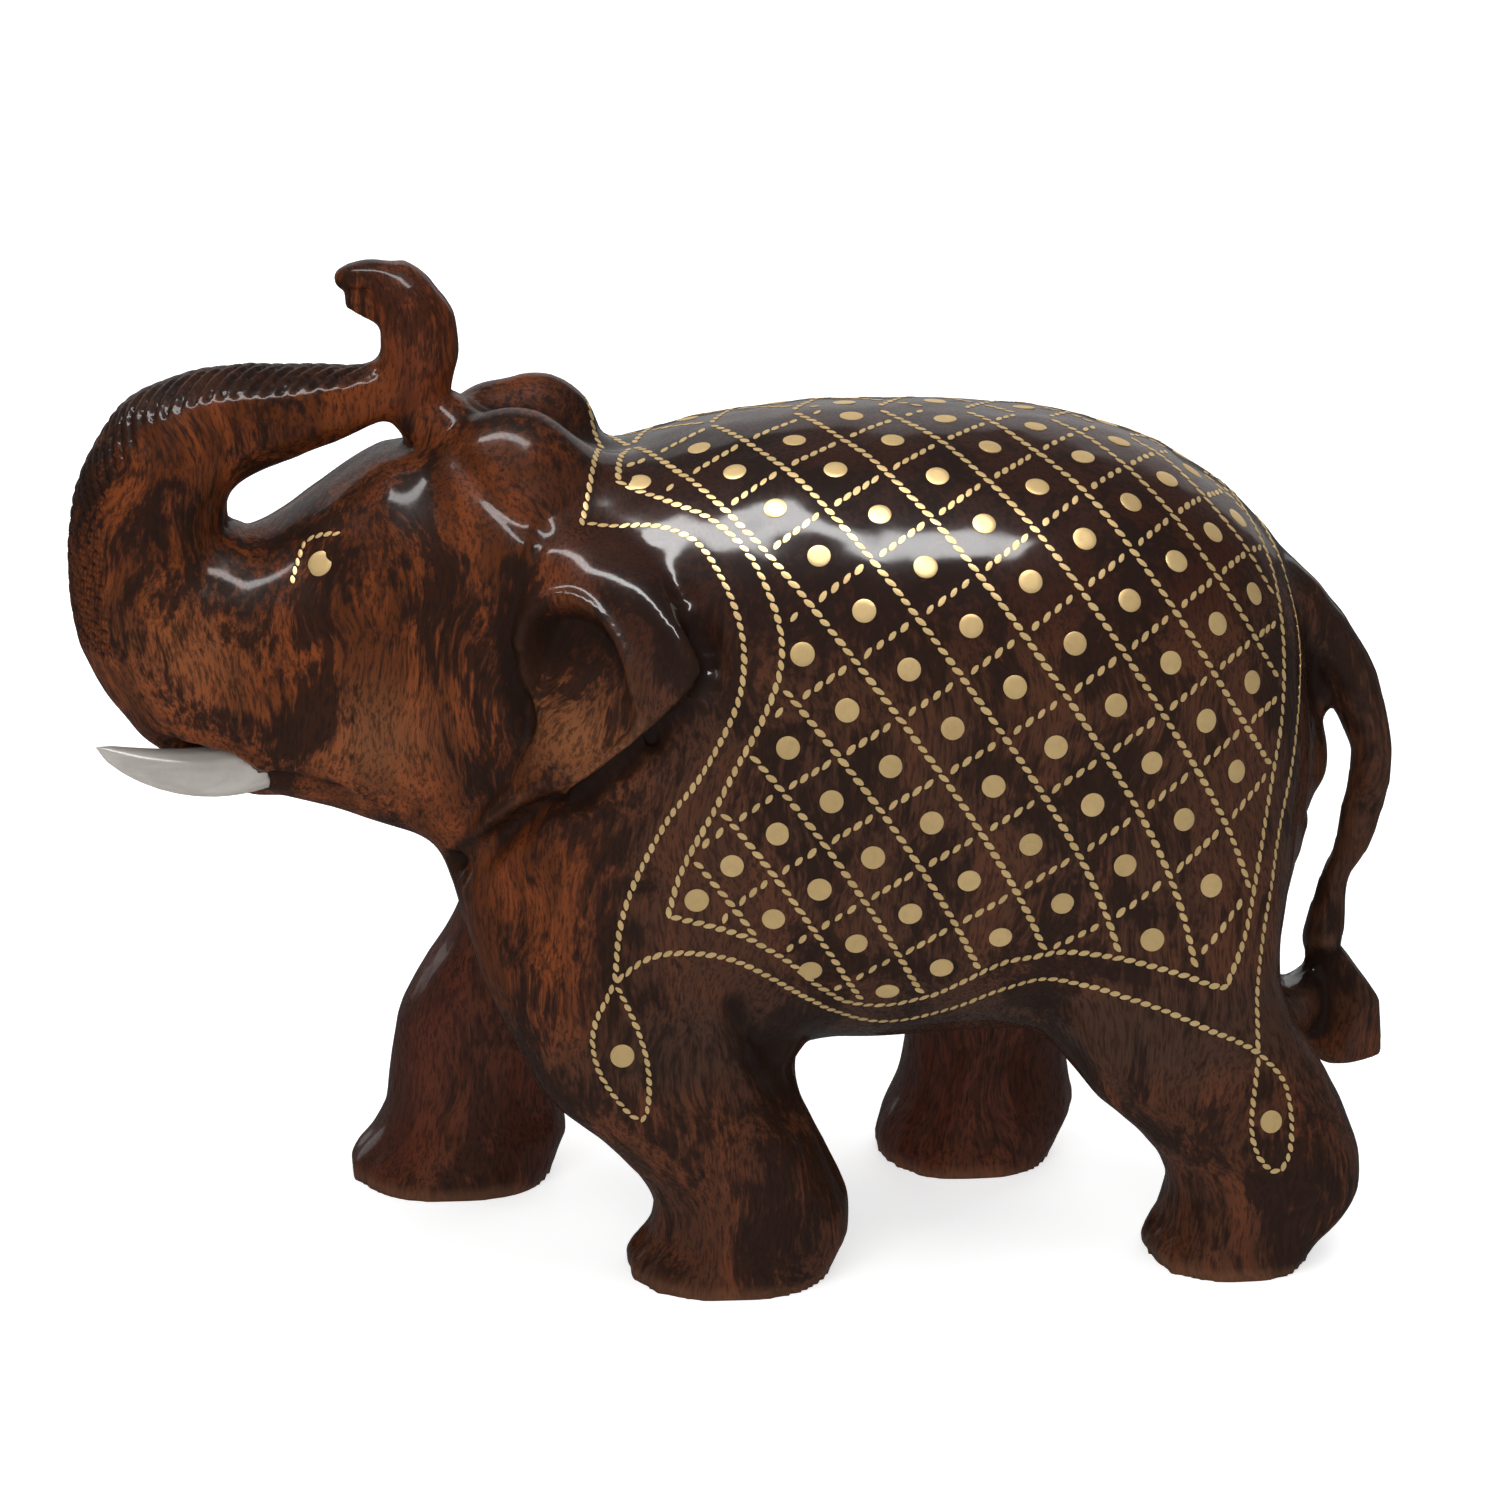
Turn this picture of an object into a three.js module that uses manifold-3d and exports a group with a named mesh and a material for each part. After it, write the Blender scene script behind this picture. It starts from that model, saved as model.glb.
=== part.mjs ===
// A standing elephant carved from one block of hardwood, with a raised trunk, two white tusks let into
// drilled sockets, and a brass inlay: discs and twisted wire laid as a saddle cloth over both flanks.
//
// Millimetres, +Z up, head towards -X, the elephant's left side towards -Y. The origin lies under the
// middle of the figure, in the plane of the four soles.
//
// The carving is an implicit form: rounded masses and limbs that flow into each other, cut flat at the
// soles. It is turned into a mesh on a grid. Every inlay piece finds its place on that form, so the brass
// stays on the wood when a size changes.

import * as THREE from "three";
import Module from "manifold-3d";
import { mergeVertices } from "three/addons/utils/BufferGeometryUtils.js";

const wasm = await Module();
wasm.setup();

// ---------------------------------------------------------------- driving dimensions

const LENGTH = 203; // trunk curl to tail
const WIDTH = 88; // across the belly
const HEIGHT = 154; // soles to the tip of the trunk

const LEFT_TUSK_LENGTH = 26; // from the shoulder of the peg to the tip
const RIGHT_TUSK_LENGTH = 19;
const TUSK_DIAMETER = 8.4;
const TUSK_PEG_DIAMETER = 4;
const TUSK_PEG_DEPTH = 8;
const FIT_GAP = 0.3; // clearance all round between a tusk and its socket
const INLAY_GAP = 0.4; // between the wood and the underside of the brass laid on it

const DISC_DIAMETER = 3.6;
const EYE_DISC_DIAMETER = 4.2;
const DISC_THICKNESS = 0.7;
const WIRE_WIDTH = 1.0; // the twisted wire as it shows after it is filed flush
const WIRE_THICKNESS = 0.6;

// ---------------------------------------------------------------- helpers for the carved form

// The form's own points are written for a figure of this size, and stretched to the driving dimensions.
const FORM_SIZE = { length: 203, width: 88, height: 154 };
const STRETCH = new THREE.Vector3(
  LENGTH / FORM_SIZE.length,
  WIDTH / FORM_SIZE.width,
  HEIGHT / FORM_SIZE.height,
);

const smoothMin = (a, b, reach) => {
  const overlap = Math.max(reach - Math.abs(a - b), 0) / reach;
  return Math.min(a, b) - (overlap * overlap * reach) / 4;
};
const smoothMax = (a, b, reach) => -smoothMin(-a, -b, reach);

// A rounded mass: distance from a point to an ellipsoid, near enough for blending.
function mass([cx, cy, cz], [rx, ry, rz]) {
  return (x, y, z) => {
    const dx = x - cx;
    const dy = y - cy;
    const dz = z - cz;
    const inner = Math.hypot(dx / rx, dy / ry, dz / rz);
    const slope = Math.hypot(dx / (rx * rx), dy / (ry * ry), dz / (rz * rz));
    return slope < 1e-9 ? -Math.min(rx, ry, rz) : (inner * (inner - 1)) / slope;
  };
}

// A limb: a tube of changing radius along a smooth line through its stations [x, y, z, radius].
// flat above 1 makes it wider across the elephant than it is long, under 1 narrower.
function limb(stations, { steps = 14, flat = 1 } = {}) {
  const line = new THREE.CatmullRomCurve3(stations.map(([x, y, z]) => new THREE.Vector3(x, y, z)));
  const radii = new THREE.CatmullRomCurve3(stations.map(([, , , r]) => new THREE.Vector3(r, 0, 0)));
  const at = Array.from({ length: steps + 1 }, (_, i) => ({
    point: line.getPoint(i / steps),
    radius: radii.getPoint(i / steps).x,
  }));
  return (x, y, z) => {
    let nearest = Infinity;
    for (let i = 0; i < steps; i++) {
      const a = at[i].point;
      const b = at[i + 1].point;
      const [ux, uy, uz] = [b.x - a.x, (b.y - a.y) / flat, b.z - a.z];
      const [px, py, pz] = [x - a.x, (y - a.y) / flat, z - a.z];
      const along = (px * ux + py * uy + pz * uz) / (ux * ux + uy * uy + uz * uz);
      const t = Math.min(1, Math.max(0, along));
      const radius = at[i].radius + (at[i + 1].radius - at[i].radius) * t;
      nearest = Math.min(nearest, Math.hypot(px - ux * t, py - uy * t, pz - uz * t) - radius);
    }
    return nearest;
  };
}

// A loft along x or z through stations of squarish ovals. Along x a station is [x, low z, high z, half
// width]; along z it is [z, front x, back x, inner y, outer y]. Stations run either way.
const OVAL = 2.3;
const END_ROUNDING = 6;

function betweenStations(rows, i, t, column) {
  const at = (k) => rows[THREE.MathUtils.clamp(k, 0, rows.length - 1)][column];
  const [a, b, c, d] = [at(i - 1), at(i), at(i + 1), at(i + 2)];
  return b + (t * (c - a + t * (2 * a - 5 * b + 4 * c - d + t * (3 * (b - c) + d - a)))) / 2;
}

function loft(along, stations) {
  const rows = stations.map(([at, low, high, p, q]) =>
    along === "x" ? [at, low, high, -p, p] : [at, low, high, p, q],
  );
  if (rows[0][0] > rows[1][0]) rows.reverse();
  const [first, last] = [rows[0][0], rows[rows.length - 1][0]];
  return (x, y, z) => {
    const [place, cross] = along === "x" ? [x, z] : [z, x];
    const within = THREE.MathUtils.clamp(place, first, last);
    let i = 0;
    while (i < rows.length - 2 && rows[i + 1][0] < within) i++;
    const t = (within - rows[i][0]) / (rows[i + 1][0] - rows[i][0]);
    const [low, high, inner, outer] = [1, 2, 3, 4].map((column) => betweenStations(rows, i, t, column));
    const [da, db] = [cross - (low + high) / 2, y - (inner + outer) / 2];
    const [ra, rb] = [(high - low) / 2, (outer - inner) / 2];
    const oval = (Math.abs(da / ra) ** OVAL + Math.abs(db / rb) ** OVAL) ** (1 / OVAL);
    const wall = oval < 1e-6 ? -Math.min(ra, rb) : Math.hypot(da, db) * (1 - 1 / oval);
    const beyond = Math.abs(place - within);
    return beyond > 0 ? smoothMax(Math.max(wall, -4), beyond, END_ROUNDING) : wall;
  };
}

// Distance in the side view to the closed smooth outline through [x, z] points, negative inside it.
function outlineDistance(points) {
  const curve = new THREE.CatmullRomCurve3(
    points.map(([x, z]) => new THREE.Vector3(x, 0, z)),
    true,
  );
  const outline = curve.getPoints(points.length * 4).slice(0, -1);
  return (x, z) => {
    let nearest = Infinity;
    let inside = false;
    outline.forEach((a, i) => {
      const b = outline[(i + 1) % outline.length];
      const [ux, uz] = [b.x - a.x, b.z - a.z];
      const t = Math.min(1, Math.max(0, ((x - a.x) * ux + (z - a.z) * uz) / (ux * ux + uz * uz)));
      nearest = Math.min(nearest, Math.hypot(x - a.x - ux * t, z - a.z - uz * t));
      if (a.z > z !== b.z > z && x < a.x + ((z - a.z) * ux) / uz) inside = !inside;
    });
    return inside ? -nearest : nearest;
  };
}

// ---------------------------------------------------------------- the carved form

// Stations of the body from chest to rump: [x, belly z, back z, half width].
const torso = loft("x", [
  [-42, 50, 78, 14],
  [-37, 45, 96, 27],
  [-30, 41, 111, 34],
  [-20, 36.5, 120.7, 38],
  [-8, 33.5, 125.7, 41],
  [8, 31.5, 128.4, 43],
  [24, 31, 128.8, 43.5],
  [40, 32, 127.9, 43],
  [54, 34, 126, 41],
  [67, 38, 121.4, 37],
  [77, 43, 114.5, 31],
  [84, 49, 106.5, 23.5],
  [89.5, 57, 96, 13],
]);

// Stations of a leg from the body to below the sole: [z, front x, back x, inner y, outer y], with y
// counted outwards from the middle plane.
const legNearFront = loft("z", [
  [92, -34, -10, 4, 24],
  [78, -40, -3, 4, 32],
  [60, -42.5, 4, 4, 38],
  [48, -40, 5, 6, 40],
  [38, -35.5, 4, 8, 40.5],
  [30, -31.5, 7, 9, 40.5],
  [22, -22.7, 11.5, 10, 40.5],
  [14, -15.3, 15, 10.5, 40],
  [8, -13.8, 16.4, 10, 40],
  [3, -17, 13.8, 9, 40.5],
  [-8, -20, 6, 9, 41],
]);
const legFarFront = loft("z", [
  [92, -32, -10, 4, 24],
  [78, -37, -3, 4, 32],
  [60, -38, 0, 4, 36],
  [44, -40.5, -8, 6, 38],
  [28, -49, -19, 9, 39],
  [20, -51, -23, 10, 39.5],
  [12, -52, -24.5, 10, 39.5],
  [8, -53, -23, 9, 40],
  [3, -57, -25.5, 7.5, 40.5],
  [-8, -58.5, -30, 7, 41],
]);
const legNearRear = loft("z", [
  [90, 52, 68, 4, 22],
  [76, 45, 77, 4, 32],
  [64, 43, 82, 4, 37],
  [54, 44, 83, 4, 39],
  [44, 46, 82.5, 6, 40],
  [35, 48, 86.5, 8, 40.5],
  [26, 54, 91.4, 9, 40.5],
  [20, 61, 94, 10, 40.5],
  [14, 65.5, 95.6, 10, 40.5],
  [8, 65, 94, 9.5, 40.5],
  [3, 63, 88.5, 9, 41],
  [-8, 61.5, 80, 9, 41.5],
]);
const legFarRear = loft("z", [
  [86, 44, 64, 4, 22],
  [72, 36, 74, 4, 33],
  [54, 32, 72, 4, 38],
  [40, 31.5, 66, 7, 39],
  [28, 31.3, 60, 9, 39.5],
  [20, 31.2, 57, 10, 40],
  [12, 30.4, 57.5, 10, 40],
  [8, 27.6, 58.5, 9.5, 40],
  [3, 27, 55, 9, 40.5],
  [-8, 27.5, 48, 9, 41],
]);

// Stations of the head from the nape to the root of the trunk: [x, jaw z, brow z, half width].
const head = loft("x", [
  [-18, 72, 117, 22],
  [-27, 68, 126, 26],
  [-36, 65.2, 128.6, 27.5],
  [-44, 64.8, 126.3, 26.5],
  [-52, 66, 122.6, 24],
  [-60, 68.6, 117.8, 21.5],
  [-68, 71.5, 112, 19.5],
  [-75, 73.5, 107.5, 18],
]);
const crown = mass([-32.5, 8.5, 120.2], [12, 10.5, 12.8]);
const trunk = limb(
  [
    [-66, 0, 91, 19],
    [-79, 0, 93.4, 17.4],
    [-86, 0, 102, 14.4],
    [-88.2, 0, 112, 12],
    [-85.8, 0, 121.8, 11.2],
    [-77.5, 0, 127.8, 9.2],
    [-68, 0, 129.5, 7.5],
    [-60, 0, 130.9, 6],
    [-53.5, 0, 132.3, 4.6],
    [-48.6, 0, 135, 5.6],
    [-48, 0, 141, 6.2],
    [-49.3, 0, 146.8, 5.8],
    [-53.5, 0, 150.5, 3.7],
    [-57.5, 0, 151.4, 2],
    [-60.2, 0, 151.6, 0.8],
  ],
  { steps: 42, flat: 1.1 },
);
const tail = limb(
  [
    [80, 0, 101.5, 6],
    [88, 0, 97, 5],
    [95, 0, 89.5, 4.6],
    [98.6, 0, 80, 4],
    [99.8, 0, 71, 2.9],
    [98.8, 0, 63, 2.7],
    [96.6, 0, 55, 2.6],
    [94.4, 0, 47, 2.5],
    [94, 0, 42, 3.4],
    [95.4, 0, 35.5, 5.6],
    [96.8, 0, 29, 6.4],
  ],
  { steps: 30, flat: 1.25 },
);
const tailBridge = limb([
  [82, -11, 34, 7],
  [88, -4, 32, 6],
  [94, 0, 30.5, 5.6],
]);

// The hide without ears and tail, which carries the inlay. Each mass blends into the last over its own
// reach. Widths are counted from the middle plane, and the legs of the two sides differ.
function hide(x, y, z) {
  const side = Math.abs(y);
  const front = y < 0 ? legNearFront : legFarFront;
  const rear = y < 0 ? legNearRear : legFarRear;
  const skull = smoothMin(head(x, y, z), crown(x, side, z), 6);
  let d = smoothMin(torso(x, y, z), skull, 9);
  d = smoothMin(d, front(x, side, z), 10);
  return smoothMin(d, rear(x, side, z), 10);
}

// The ear is left standing on the shoulder: the hide raised inside the ear's outline, more so towards the
// back edge.
const EAR_OUTLINE = [
  [-33, 118],
  [-20, 115.5],
  [-12, 110],
  [-7.5, 99.5],
  [-16.5, 89.5],
  [-26.5, 79.5],
  [-36, 75],
  [-43, 68.5],
  [-40, 80],
  [-38, 100],
];
const EAR_LIFT = { root: 1.5, edge: 5.5, rootX: -40, edgeX: -16 };
const EAR_INNER = 12; // from the middle plane
const earOutline = outlineDistance(EAR_OUTLINE);
function ear(x, side, z, hideDistance) {
  const share = THREE.MathUtils.smoothstep(x, EAR_LIFT.rootX, EAR_LIFT.edgeX);
  const lift = THREE.MathUtils.lerp(EAR_LIFT.root, EAR_LIFT.edge, share);
  return smoothMax(smoothMax(earOutline(x, z), hideDistance - lift, 2.5), EAR_INNER - side, 2);
}

// The whole form, in form units.
function form(x, y, z) {
  const skin = hide(x, y, z);
  let d = smoothMin(skin, trunk(x, y, z), 4);
  d = smoothMin(d, ear(x, Math.abs(y), z, skin), 2);
  d = smoothMin(d, tail(x, y, z), 3.5);
  return smoothMin(d, tailBridge(x, y, z), 3);
}

// The same form in real millimetres, closed off below the soles. Only its sign and zero are exact.
const FOOT_DEPTH = 5;
function wood(p) {
  const d = form(p.x / STRETCH.x, p.y / STRETCH.y, p.z / STRETCH.z);
  return Math.max(d, -p.z - FOOT_DEPTH);
}

const NORMAL_STEP = 0.05;
function woodNormal(p) {
  const probe = (dx, dy, dz) => wood(new THREE.Vector3(p.x + dx, p.y + dy, p.z + dz));
  const e = NORMAL_STEP;
  return new THREE.Vector3(
    probe(e, 0, 0) - probe(-e, 0, 0),
    probe(0, e, 0) - probe(0, -e, 0),
    probe(0, 0, e) - probe(0, 0, -e),
  );
}

// ---------------------------------------------------------------- the form as a mesh

// Grid lines: finer over the head and the tail than over the plain flanks.
function gridLines(stretches) {
  const lines = [stretches[0].from];
  for (const { to, step } of stretches) {
    const from = lines[lines.length - 1];
    const count = Math.max(1, Math.round((to - from) / step));
    for (let i = 1; i <= count; i++) lines.push(from + ((to - from) * i) / count);
  }
  return lines;
}

const GRID = {
  x: gridLines([
    { from: -107, to: -40, step: 4 },
    { to: -4, step: 4.5 },
    { to: 82, step: 7.8 },
    { to: 106, step: 2.4 },
  ]).map((v) => v * STRETCH.x),
  y: gridLines([
    { from: -50, to: -14, step: 5.1 },
    { to: 14, step: 3.6 },
    { to: 50, step: 5.1 },
  ]).map((v) => v * STRETCH.y),
  z: gridLines([
    { from: -16, to: 34, step: 5 },
    { to: 106, step: 5.8 },
    { to: 134, step: 3.1 },
    { to: 158, step: 4 },
  ]).map((v) => v * STRETCH.z),
};

// The form's value at every grid point. Where a cell face has wood at two opposite corners and air at the
// other two, the thinner air corner becomes wood, so that no two sheets of the surface share an edge.
const JUST_INSIDE = -0.02;
function sampled(grid, corner, index) {
  const [nx, ny, nz] = [grid.x.length, grid.y.length, grid.z.length];
  const value = new Float64Array(nx * ny * nz);
  const everyPoint = (visit) => {
    for (let i = 0; i < nx; i++)
      for (let j = 0; j < ny; j++)
        for (let k = 0; k < nz; k++) visit(i, j, k);
  };
  everyPoint((i, j, k) => {
    value[index(i, j, k)] = wood(corner(i, j, k));
  });
  let filled = true;
  while (filled) {
    filled = false;
    everyPoint((i, j, k) => {
      for (const [[ui, uj, uk], [vi, vj, vk]] of FACES) {
        if (i + ui + vi >= nx || j + uj + vj >= ny || k + uk + vk >= nz) continue;
        const [a, b] = [index(i, j, k), index(i + ui, j + uj, k + uk)];
        const [c, d] = [index(i + ui + vi, j + uj + vj, k + uk + vk), index(i + vi, j + vj, k + vk)];
        const crossed = value[a] < 0 === value[c] < 0 && value[b] < 0 === value[d] < 0;
        if (!crossed || value[a] < 0 === value[b] < 0) continue;
        const [p, q] = value[a] > 0 ? [a, c] : [b, d];
        value[value[p] < value[q] ? p : q] = JUST_INSIDE;
        filled = true;
      }
    });
  }
  return value;
}

const AXES = [
  [1, 0, 0],
  [0, 1, 0],
  [0, 0, 1],
];
const FACES = [
  [AXES[0], AXES[1]],
  [AXES[1], AXES[2]],
  [AXES[2], AXES[0]],
];
const SQUARE = [
  [0, 0],
  [-1, 0],
  [-1, -1],
  [0, -1],
];
const PULLS = 3;
const LONGEST_PULL = 1.2;

// One vertex in each grid cell that the surface crosses, pulled onto the surface, and one quad for each
// grid edge that it crosses.
function netOf(grid) {
  const [nx, ny, nz] = [grid.x.length, grid.y.length, grid.z.length];
  const index = (i, j, k) => (i * ny + j) * nz + k;
  const corner = (i, j, k) => new THREE.Vector3(grid.x[i], grid.y[j], grid.z[k]);
  const value = sampled(grid, corner, index);
  const positions = [];
  const cellVertex = new Map();

  const crossings = (i, j, k) => {
    const points = [];
    AXES.forEach(([ax, ay, az], axis) => {
      for (const [u, v] of SQUARE) {
        const a = axis === 0 ? [i, j - u, k - v] : axis === 1 ? [i - u, j, k - v] : [i - u, j - v, k];
        const b = [a[0] + ax, a[1] + ay, a[2] + az];
        const [va, vb] = [value[index(...a)], value[index(...b)]];
        if (va < 0 !== vb < 0) points.push(corner(...a).lerp(corner(...b), va / (va - vb)));
      }
    });
    return points;
  };

  const vertexOf = (i, j, k) => {
    const key = index(i, j, k);
    if (cellVertex.has(key)) return cellVertex.get(key);
    const points = crossings(i, j, k);
    const p = points.reduce((sum, q) => sum.add(q), new THREE.Vector3()).divideScalar(points.length);
    for (let pull = 0; pull < PULLS; pull++) {
      const slope = woodNormal(p).divideScalar(2 * NORMAL_STEP);
      const shift = slope.multiplyScalar(-wood(p) / Math.max(slope.lengthSq(), 0.25));
      p.add(shift.clampLength(0, LONGEST_PULL));
    }
    positions.push(p.x, p.y, p.z);
    cellVertex.set(key, cellVertex.size);
    return cellVertex.size - 1;
  };

  const triangles = [];
  const addQuad = (i, j, k, [ax, ay, az], axis) => {
    const here = value[index(i, j, k)] < 0;
    if (here === value[index(i + ax, j + ay, k + az)] < 0) return;
    const around = SQUARE.map(([u, v]) => {
      if (axis === 0) return vertexOf(i, j + u, k + v);
      if (axis === 1) return vertexOf(i + v, j, k + u);
      return vertexOf(i + u, j + v, k);
    });
    const [a, b, c, d] = here ? around : around.reverse();
    triangles.push(a, b, c, a, c, d);
  };
  for (let i = 1; i < nx - 1; i++)
    for (let j = 1; j < ny - 1; j++)
      for (let k = 1; k < nz - 1; k++) AXES.forEach((step, axis) => addQuad(i, j, k, step, axis));

  const geometry = new THREE.BufferGeometry();
  geometry.setAttribute("position", new THREE.Float32BufferAttribute(positions, 3));
  geometry.setIndex(triangles);
  return geometry;
}

// ---------------------------------------------------------------- joins and cuts

function solidOf(geometry) {
  const bare = new THREE.BufferGeometry();
  const source = geometry.index ? geometry.toNonIndexed() : geometry;
  bare.setAttribute("position", source.getAttribute("position").clone());
  const merged = mergeVertices(bare, 1e-4);
  return new wasm.Manifold(
    new wasm.Mesh({
      numProp: 3,
      vertProperties: new Float32Array(merged.attributes.position.array),
      triVerts: new Uint32Array(merged.index.array),
    }),
  );
}

function geometryOf(solid) {
  const mesh = solid.getMesh();
  const geometry = new THREE.BufferGeometry();
  geometry.setAttribute("position", new THREE.BufferAttribute(mesh.vertProperties, 3));
  geometry.setIndex(new THREE.BufferAttribute(mesh.triVerts, 1));
  return geometry;
}

// ---------------------------------------------------------------- where the inlay lies

const SIDES = { left: -1, right: 1 };

// A place on the cloth is [x, angle]: how far along, and the angle up from the horizontal about the
// body's middle line. 90 is the ridge of the back, and a negative angle is under the belly.
const MIDDLE_Z = 80;
const REACH = 75;

// The point of the hide at a place, and the outward direction there, in real millimetres.
function onHide([x, angle], side) {
  const turn = THREE.MathUtils.degToRad(angle);
  const [across, up] = [Math.cos(turn) * SIDES[side], Math.sin(turn)];
  const depth = (r) => hide(x, across * r, MIDDLE_Z + up * r);
  let outer = REACH;
  while (depth(outer) > 0) outer -= 1;
  let inner = outer + 1;
  for (let halving = 0; halving < 18; halving++) {
    const middle = (outer + inner) / 2;
    if (depth(middle) > 0) inner = middle;
    else outer = middle;
  }
  const [y, z] = [across * outer, MIDDLE_Z + up * outer];
  const e = NORMAL_STEP;
  const normal = new THREE.Vector3(
    hide(x + e, y, z) - hide(x - e, y, z),
    hide(x, y + e, z) - hide(x, y - e, z),
    hide(x, y, z + e) - hide(x, y, z - e),
  );
  normal.divide(STRETCH).normalize();
  return { point: new THREE.Vector3(x, y, z).multiply(STRETCH), normal };
}

const RIDGE = 88.8; // the borders stop just short of the ridge, where the two sides meet

const OUTER_FRONT = [
  [-15, RIDGE],
  [-16.7, 74],
  [-19.2, 61.5],
];
const OUTER_SHOULDER = [
  [-19.2, 61.5],
  [-15, 58.5],
  [-11, 56],
  [-7, 51],
  [-4, 43],
  [-2, 35],
  [-1.5, 27],
  [-3, 18],
  [-8, 5],
  [-12.5, -4],
  [-17, -16],
  [-20, -27],
  [-21, -36],
];
const OUTER_HEM = [
  [-21, -36],
  [-16, -33],
  [-9, -32],
  [-3, -34],
  [4, -40],
  [10, -47],
  [17, -54],
  [24, -55],
  [31, -51],
  [38, -46],
  [46, -42],
  [54, -41],
  [62, -42],
  [70, -45],
  [77, -49],
];
const OUTER_RUMP = [
  [77, -49],
  [77.5, -41],
  [80, -30],
  [82.5, -18],
  [84, -6],
  [85, 8],
  [86, 24],
  [86.5, 42],
  [86, 60],
  [84, 76],
  [82, RIDGE],
];
const INNER_FRONT = [
  [-11.5, RIDGE],
  [-13.3, 80],
  [-15, 71],
];
const INNER_SHOULDER = [
  [-15, 71],
  [-12, 66.5],
  [-10, 62],
  [-5, 56.5],
  [-1, 50],
  [2, 42],
  [4, 33],
  [3.7, 25],
  [1, 16],
  [-3, 6],
  [-7, -5],
  [-11, -16],
  [-13, -25],
];
const INNER_HEM = [
  [-13, -25],
  [-7, -27],
  [-1, -30],
  [5, -35.5],
  [10, -42],
  [15, -47.5],
  [21, -49],
  [27, -46.5],
  [32, -42],
  [38, -38],
  [46, -35.5],
  [54, -35],
  [63, -37],
  [72, -41],
];
const INNER_RUMP = [
  [72, -41],
  [75, -35],
  [77.5, -24],
  [79.5, -12],
  [81, 1],
  [82, 14],
  [82.5, 30],
  [82.5, 46],
  [82, 62],
  [80, 77],
  [78, RIDGE],
];
const FRONT_PENDANT = [
  [-21.2, -38.3],
  [-23.2, -40.5],
  [-24.3, -43.5],
  [-23.8, -46.5],
  [-22, -48.8],
  [-19, -50.8],
  [-16.6, -50.8],
  [-16, -48],
  [-16.4, -45],
  [-17.8, -42.2],
];
const REAR_PENDANT = [
  [77.4, -50.8],
  [76, -52.6],
  [75.8, -54.6],
  [77.4, -56.2],
  [80, -57],
  [81.8, -56.6],
  [82.4, -55.2],
  [81.6, -53.2],
  [79.6, -51.6],
];
const PENDANT_DISCS = { front: [-20, -45], rear: [79, -54.2] };
const EYE = [-63, 65];
const BROW = [
  [-60, 70],
  [-62, 72.4],
  [-64, 72.8],
  [-65.4, 70],
  [-66.2, 66.5],
  [-66.8, 63],
];

// The right legs stand elsewhere, so low on that side the design moves with them.
const HEM_SHIFT = { from: -5, over: 45, shoulder: -12, rump: -30 };
function fitted([x, angle], side) {
  if (side === "left") return [x, angle];
  const drop = THREE.MathUtils.clamp((HEM_SHIFT.from - angle) / HEM_SHIFT.over, 0, 1);
  const back = THREE.MathUtils.smoothstep(x, 0, 75);
  return [x + drop * THREE.MathUtils.lerp(HEM_SHIFT.shoulder, HEM_SHIFT.rump, back), angle];
}

// A smooth run through places, sampled into a list of places.
function run(places, samples, closed = false) {
  const curve = new THREE.CatmullRomCurve3(
    places.map(([x, angle]) => new THREE.Vector3(x, angle, 0)),
    closed,
  );
  return curve.getSpacedPoints(samples).map((p) => [p.x, p.y]);
}
const joined = (...runs) => runs.flatMap((places, i) => (i === 0 ? places : places.slice(1)));

const outerBorder = joined(
  run(OUTER_FRONT, 5),
  run(OUTER_SHOULDER, 17),
  run(OUTER_HEM, 18),
  run(OUTER_RUMP, 19),
);
const innerBorder = joined(
  run(INNER_FRONT, 4),
  run(INNER_SHOULDER, 15),
  run(INNER_HEM, 15),
  run(INNER_RUMP, 17),
);

// The diamond lattice, hand laid: near its middle a step i goes up and back by 11.5 mm, a step j goes down
// and back by as much, and the steps close up and swing a little towards the edges of the cloth. Discs
// sit at whole numbers, wires between them.
function lattice(i, j) {
  const along = 32.4 + 9.5 * i + 6.35 * j;
  const alongSwing = 0.077 * i * i + 0.04 * i * j + 0.056 * i ** 3 + 0.031 * j ** 3;
  const angle = 32.4 + 7.95 * i - 11.25 * j;
  const angleSwing = 0.29 * i * i - 0.12 * i * j - 0.2 * j * j + 0.029 * i ** 3 - 0.026 * j ** 3;
  return [along - alongSwing, angle + angleSwing];
}
const LATTICE_REACH = 7;
const DISC_ROW = 4; // the row of discs laid here runs this many steps each way from the middle one

function insideBorder([x, angle], side) {
  const ring = innerBorder.map((place) => fitted(place, side));
  const overTheTop = 100;
  const closed = [...ring, [ring[ring.length - 1][0], overTheTop], [ring[0][0], overTheTop]];
  return closed.reduce((inside, a, i) => {
    const b = closed[(i + 1) % closed.length];
    const reached = a[1] > angle !== b[1] > angle;
    const crossing = a[0] + ((angle - a[1]) * (b[0] - a[0])) / (b[1] - a[1]);
    return reached && x < crossing ? !inside : inside;
  }, false);
}

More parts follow.
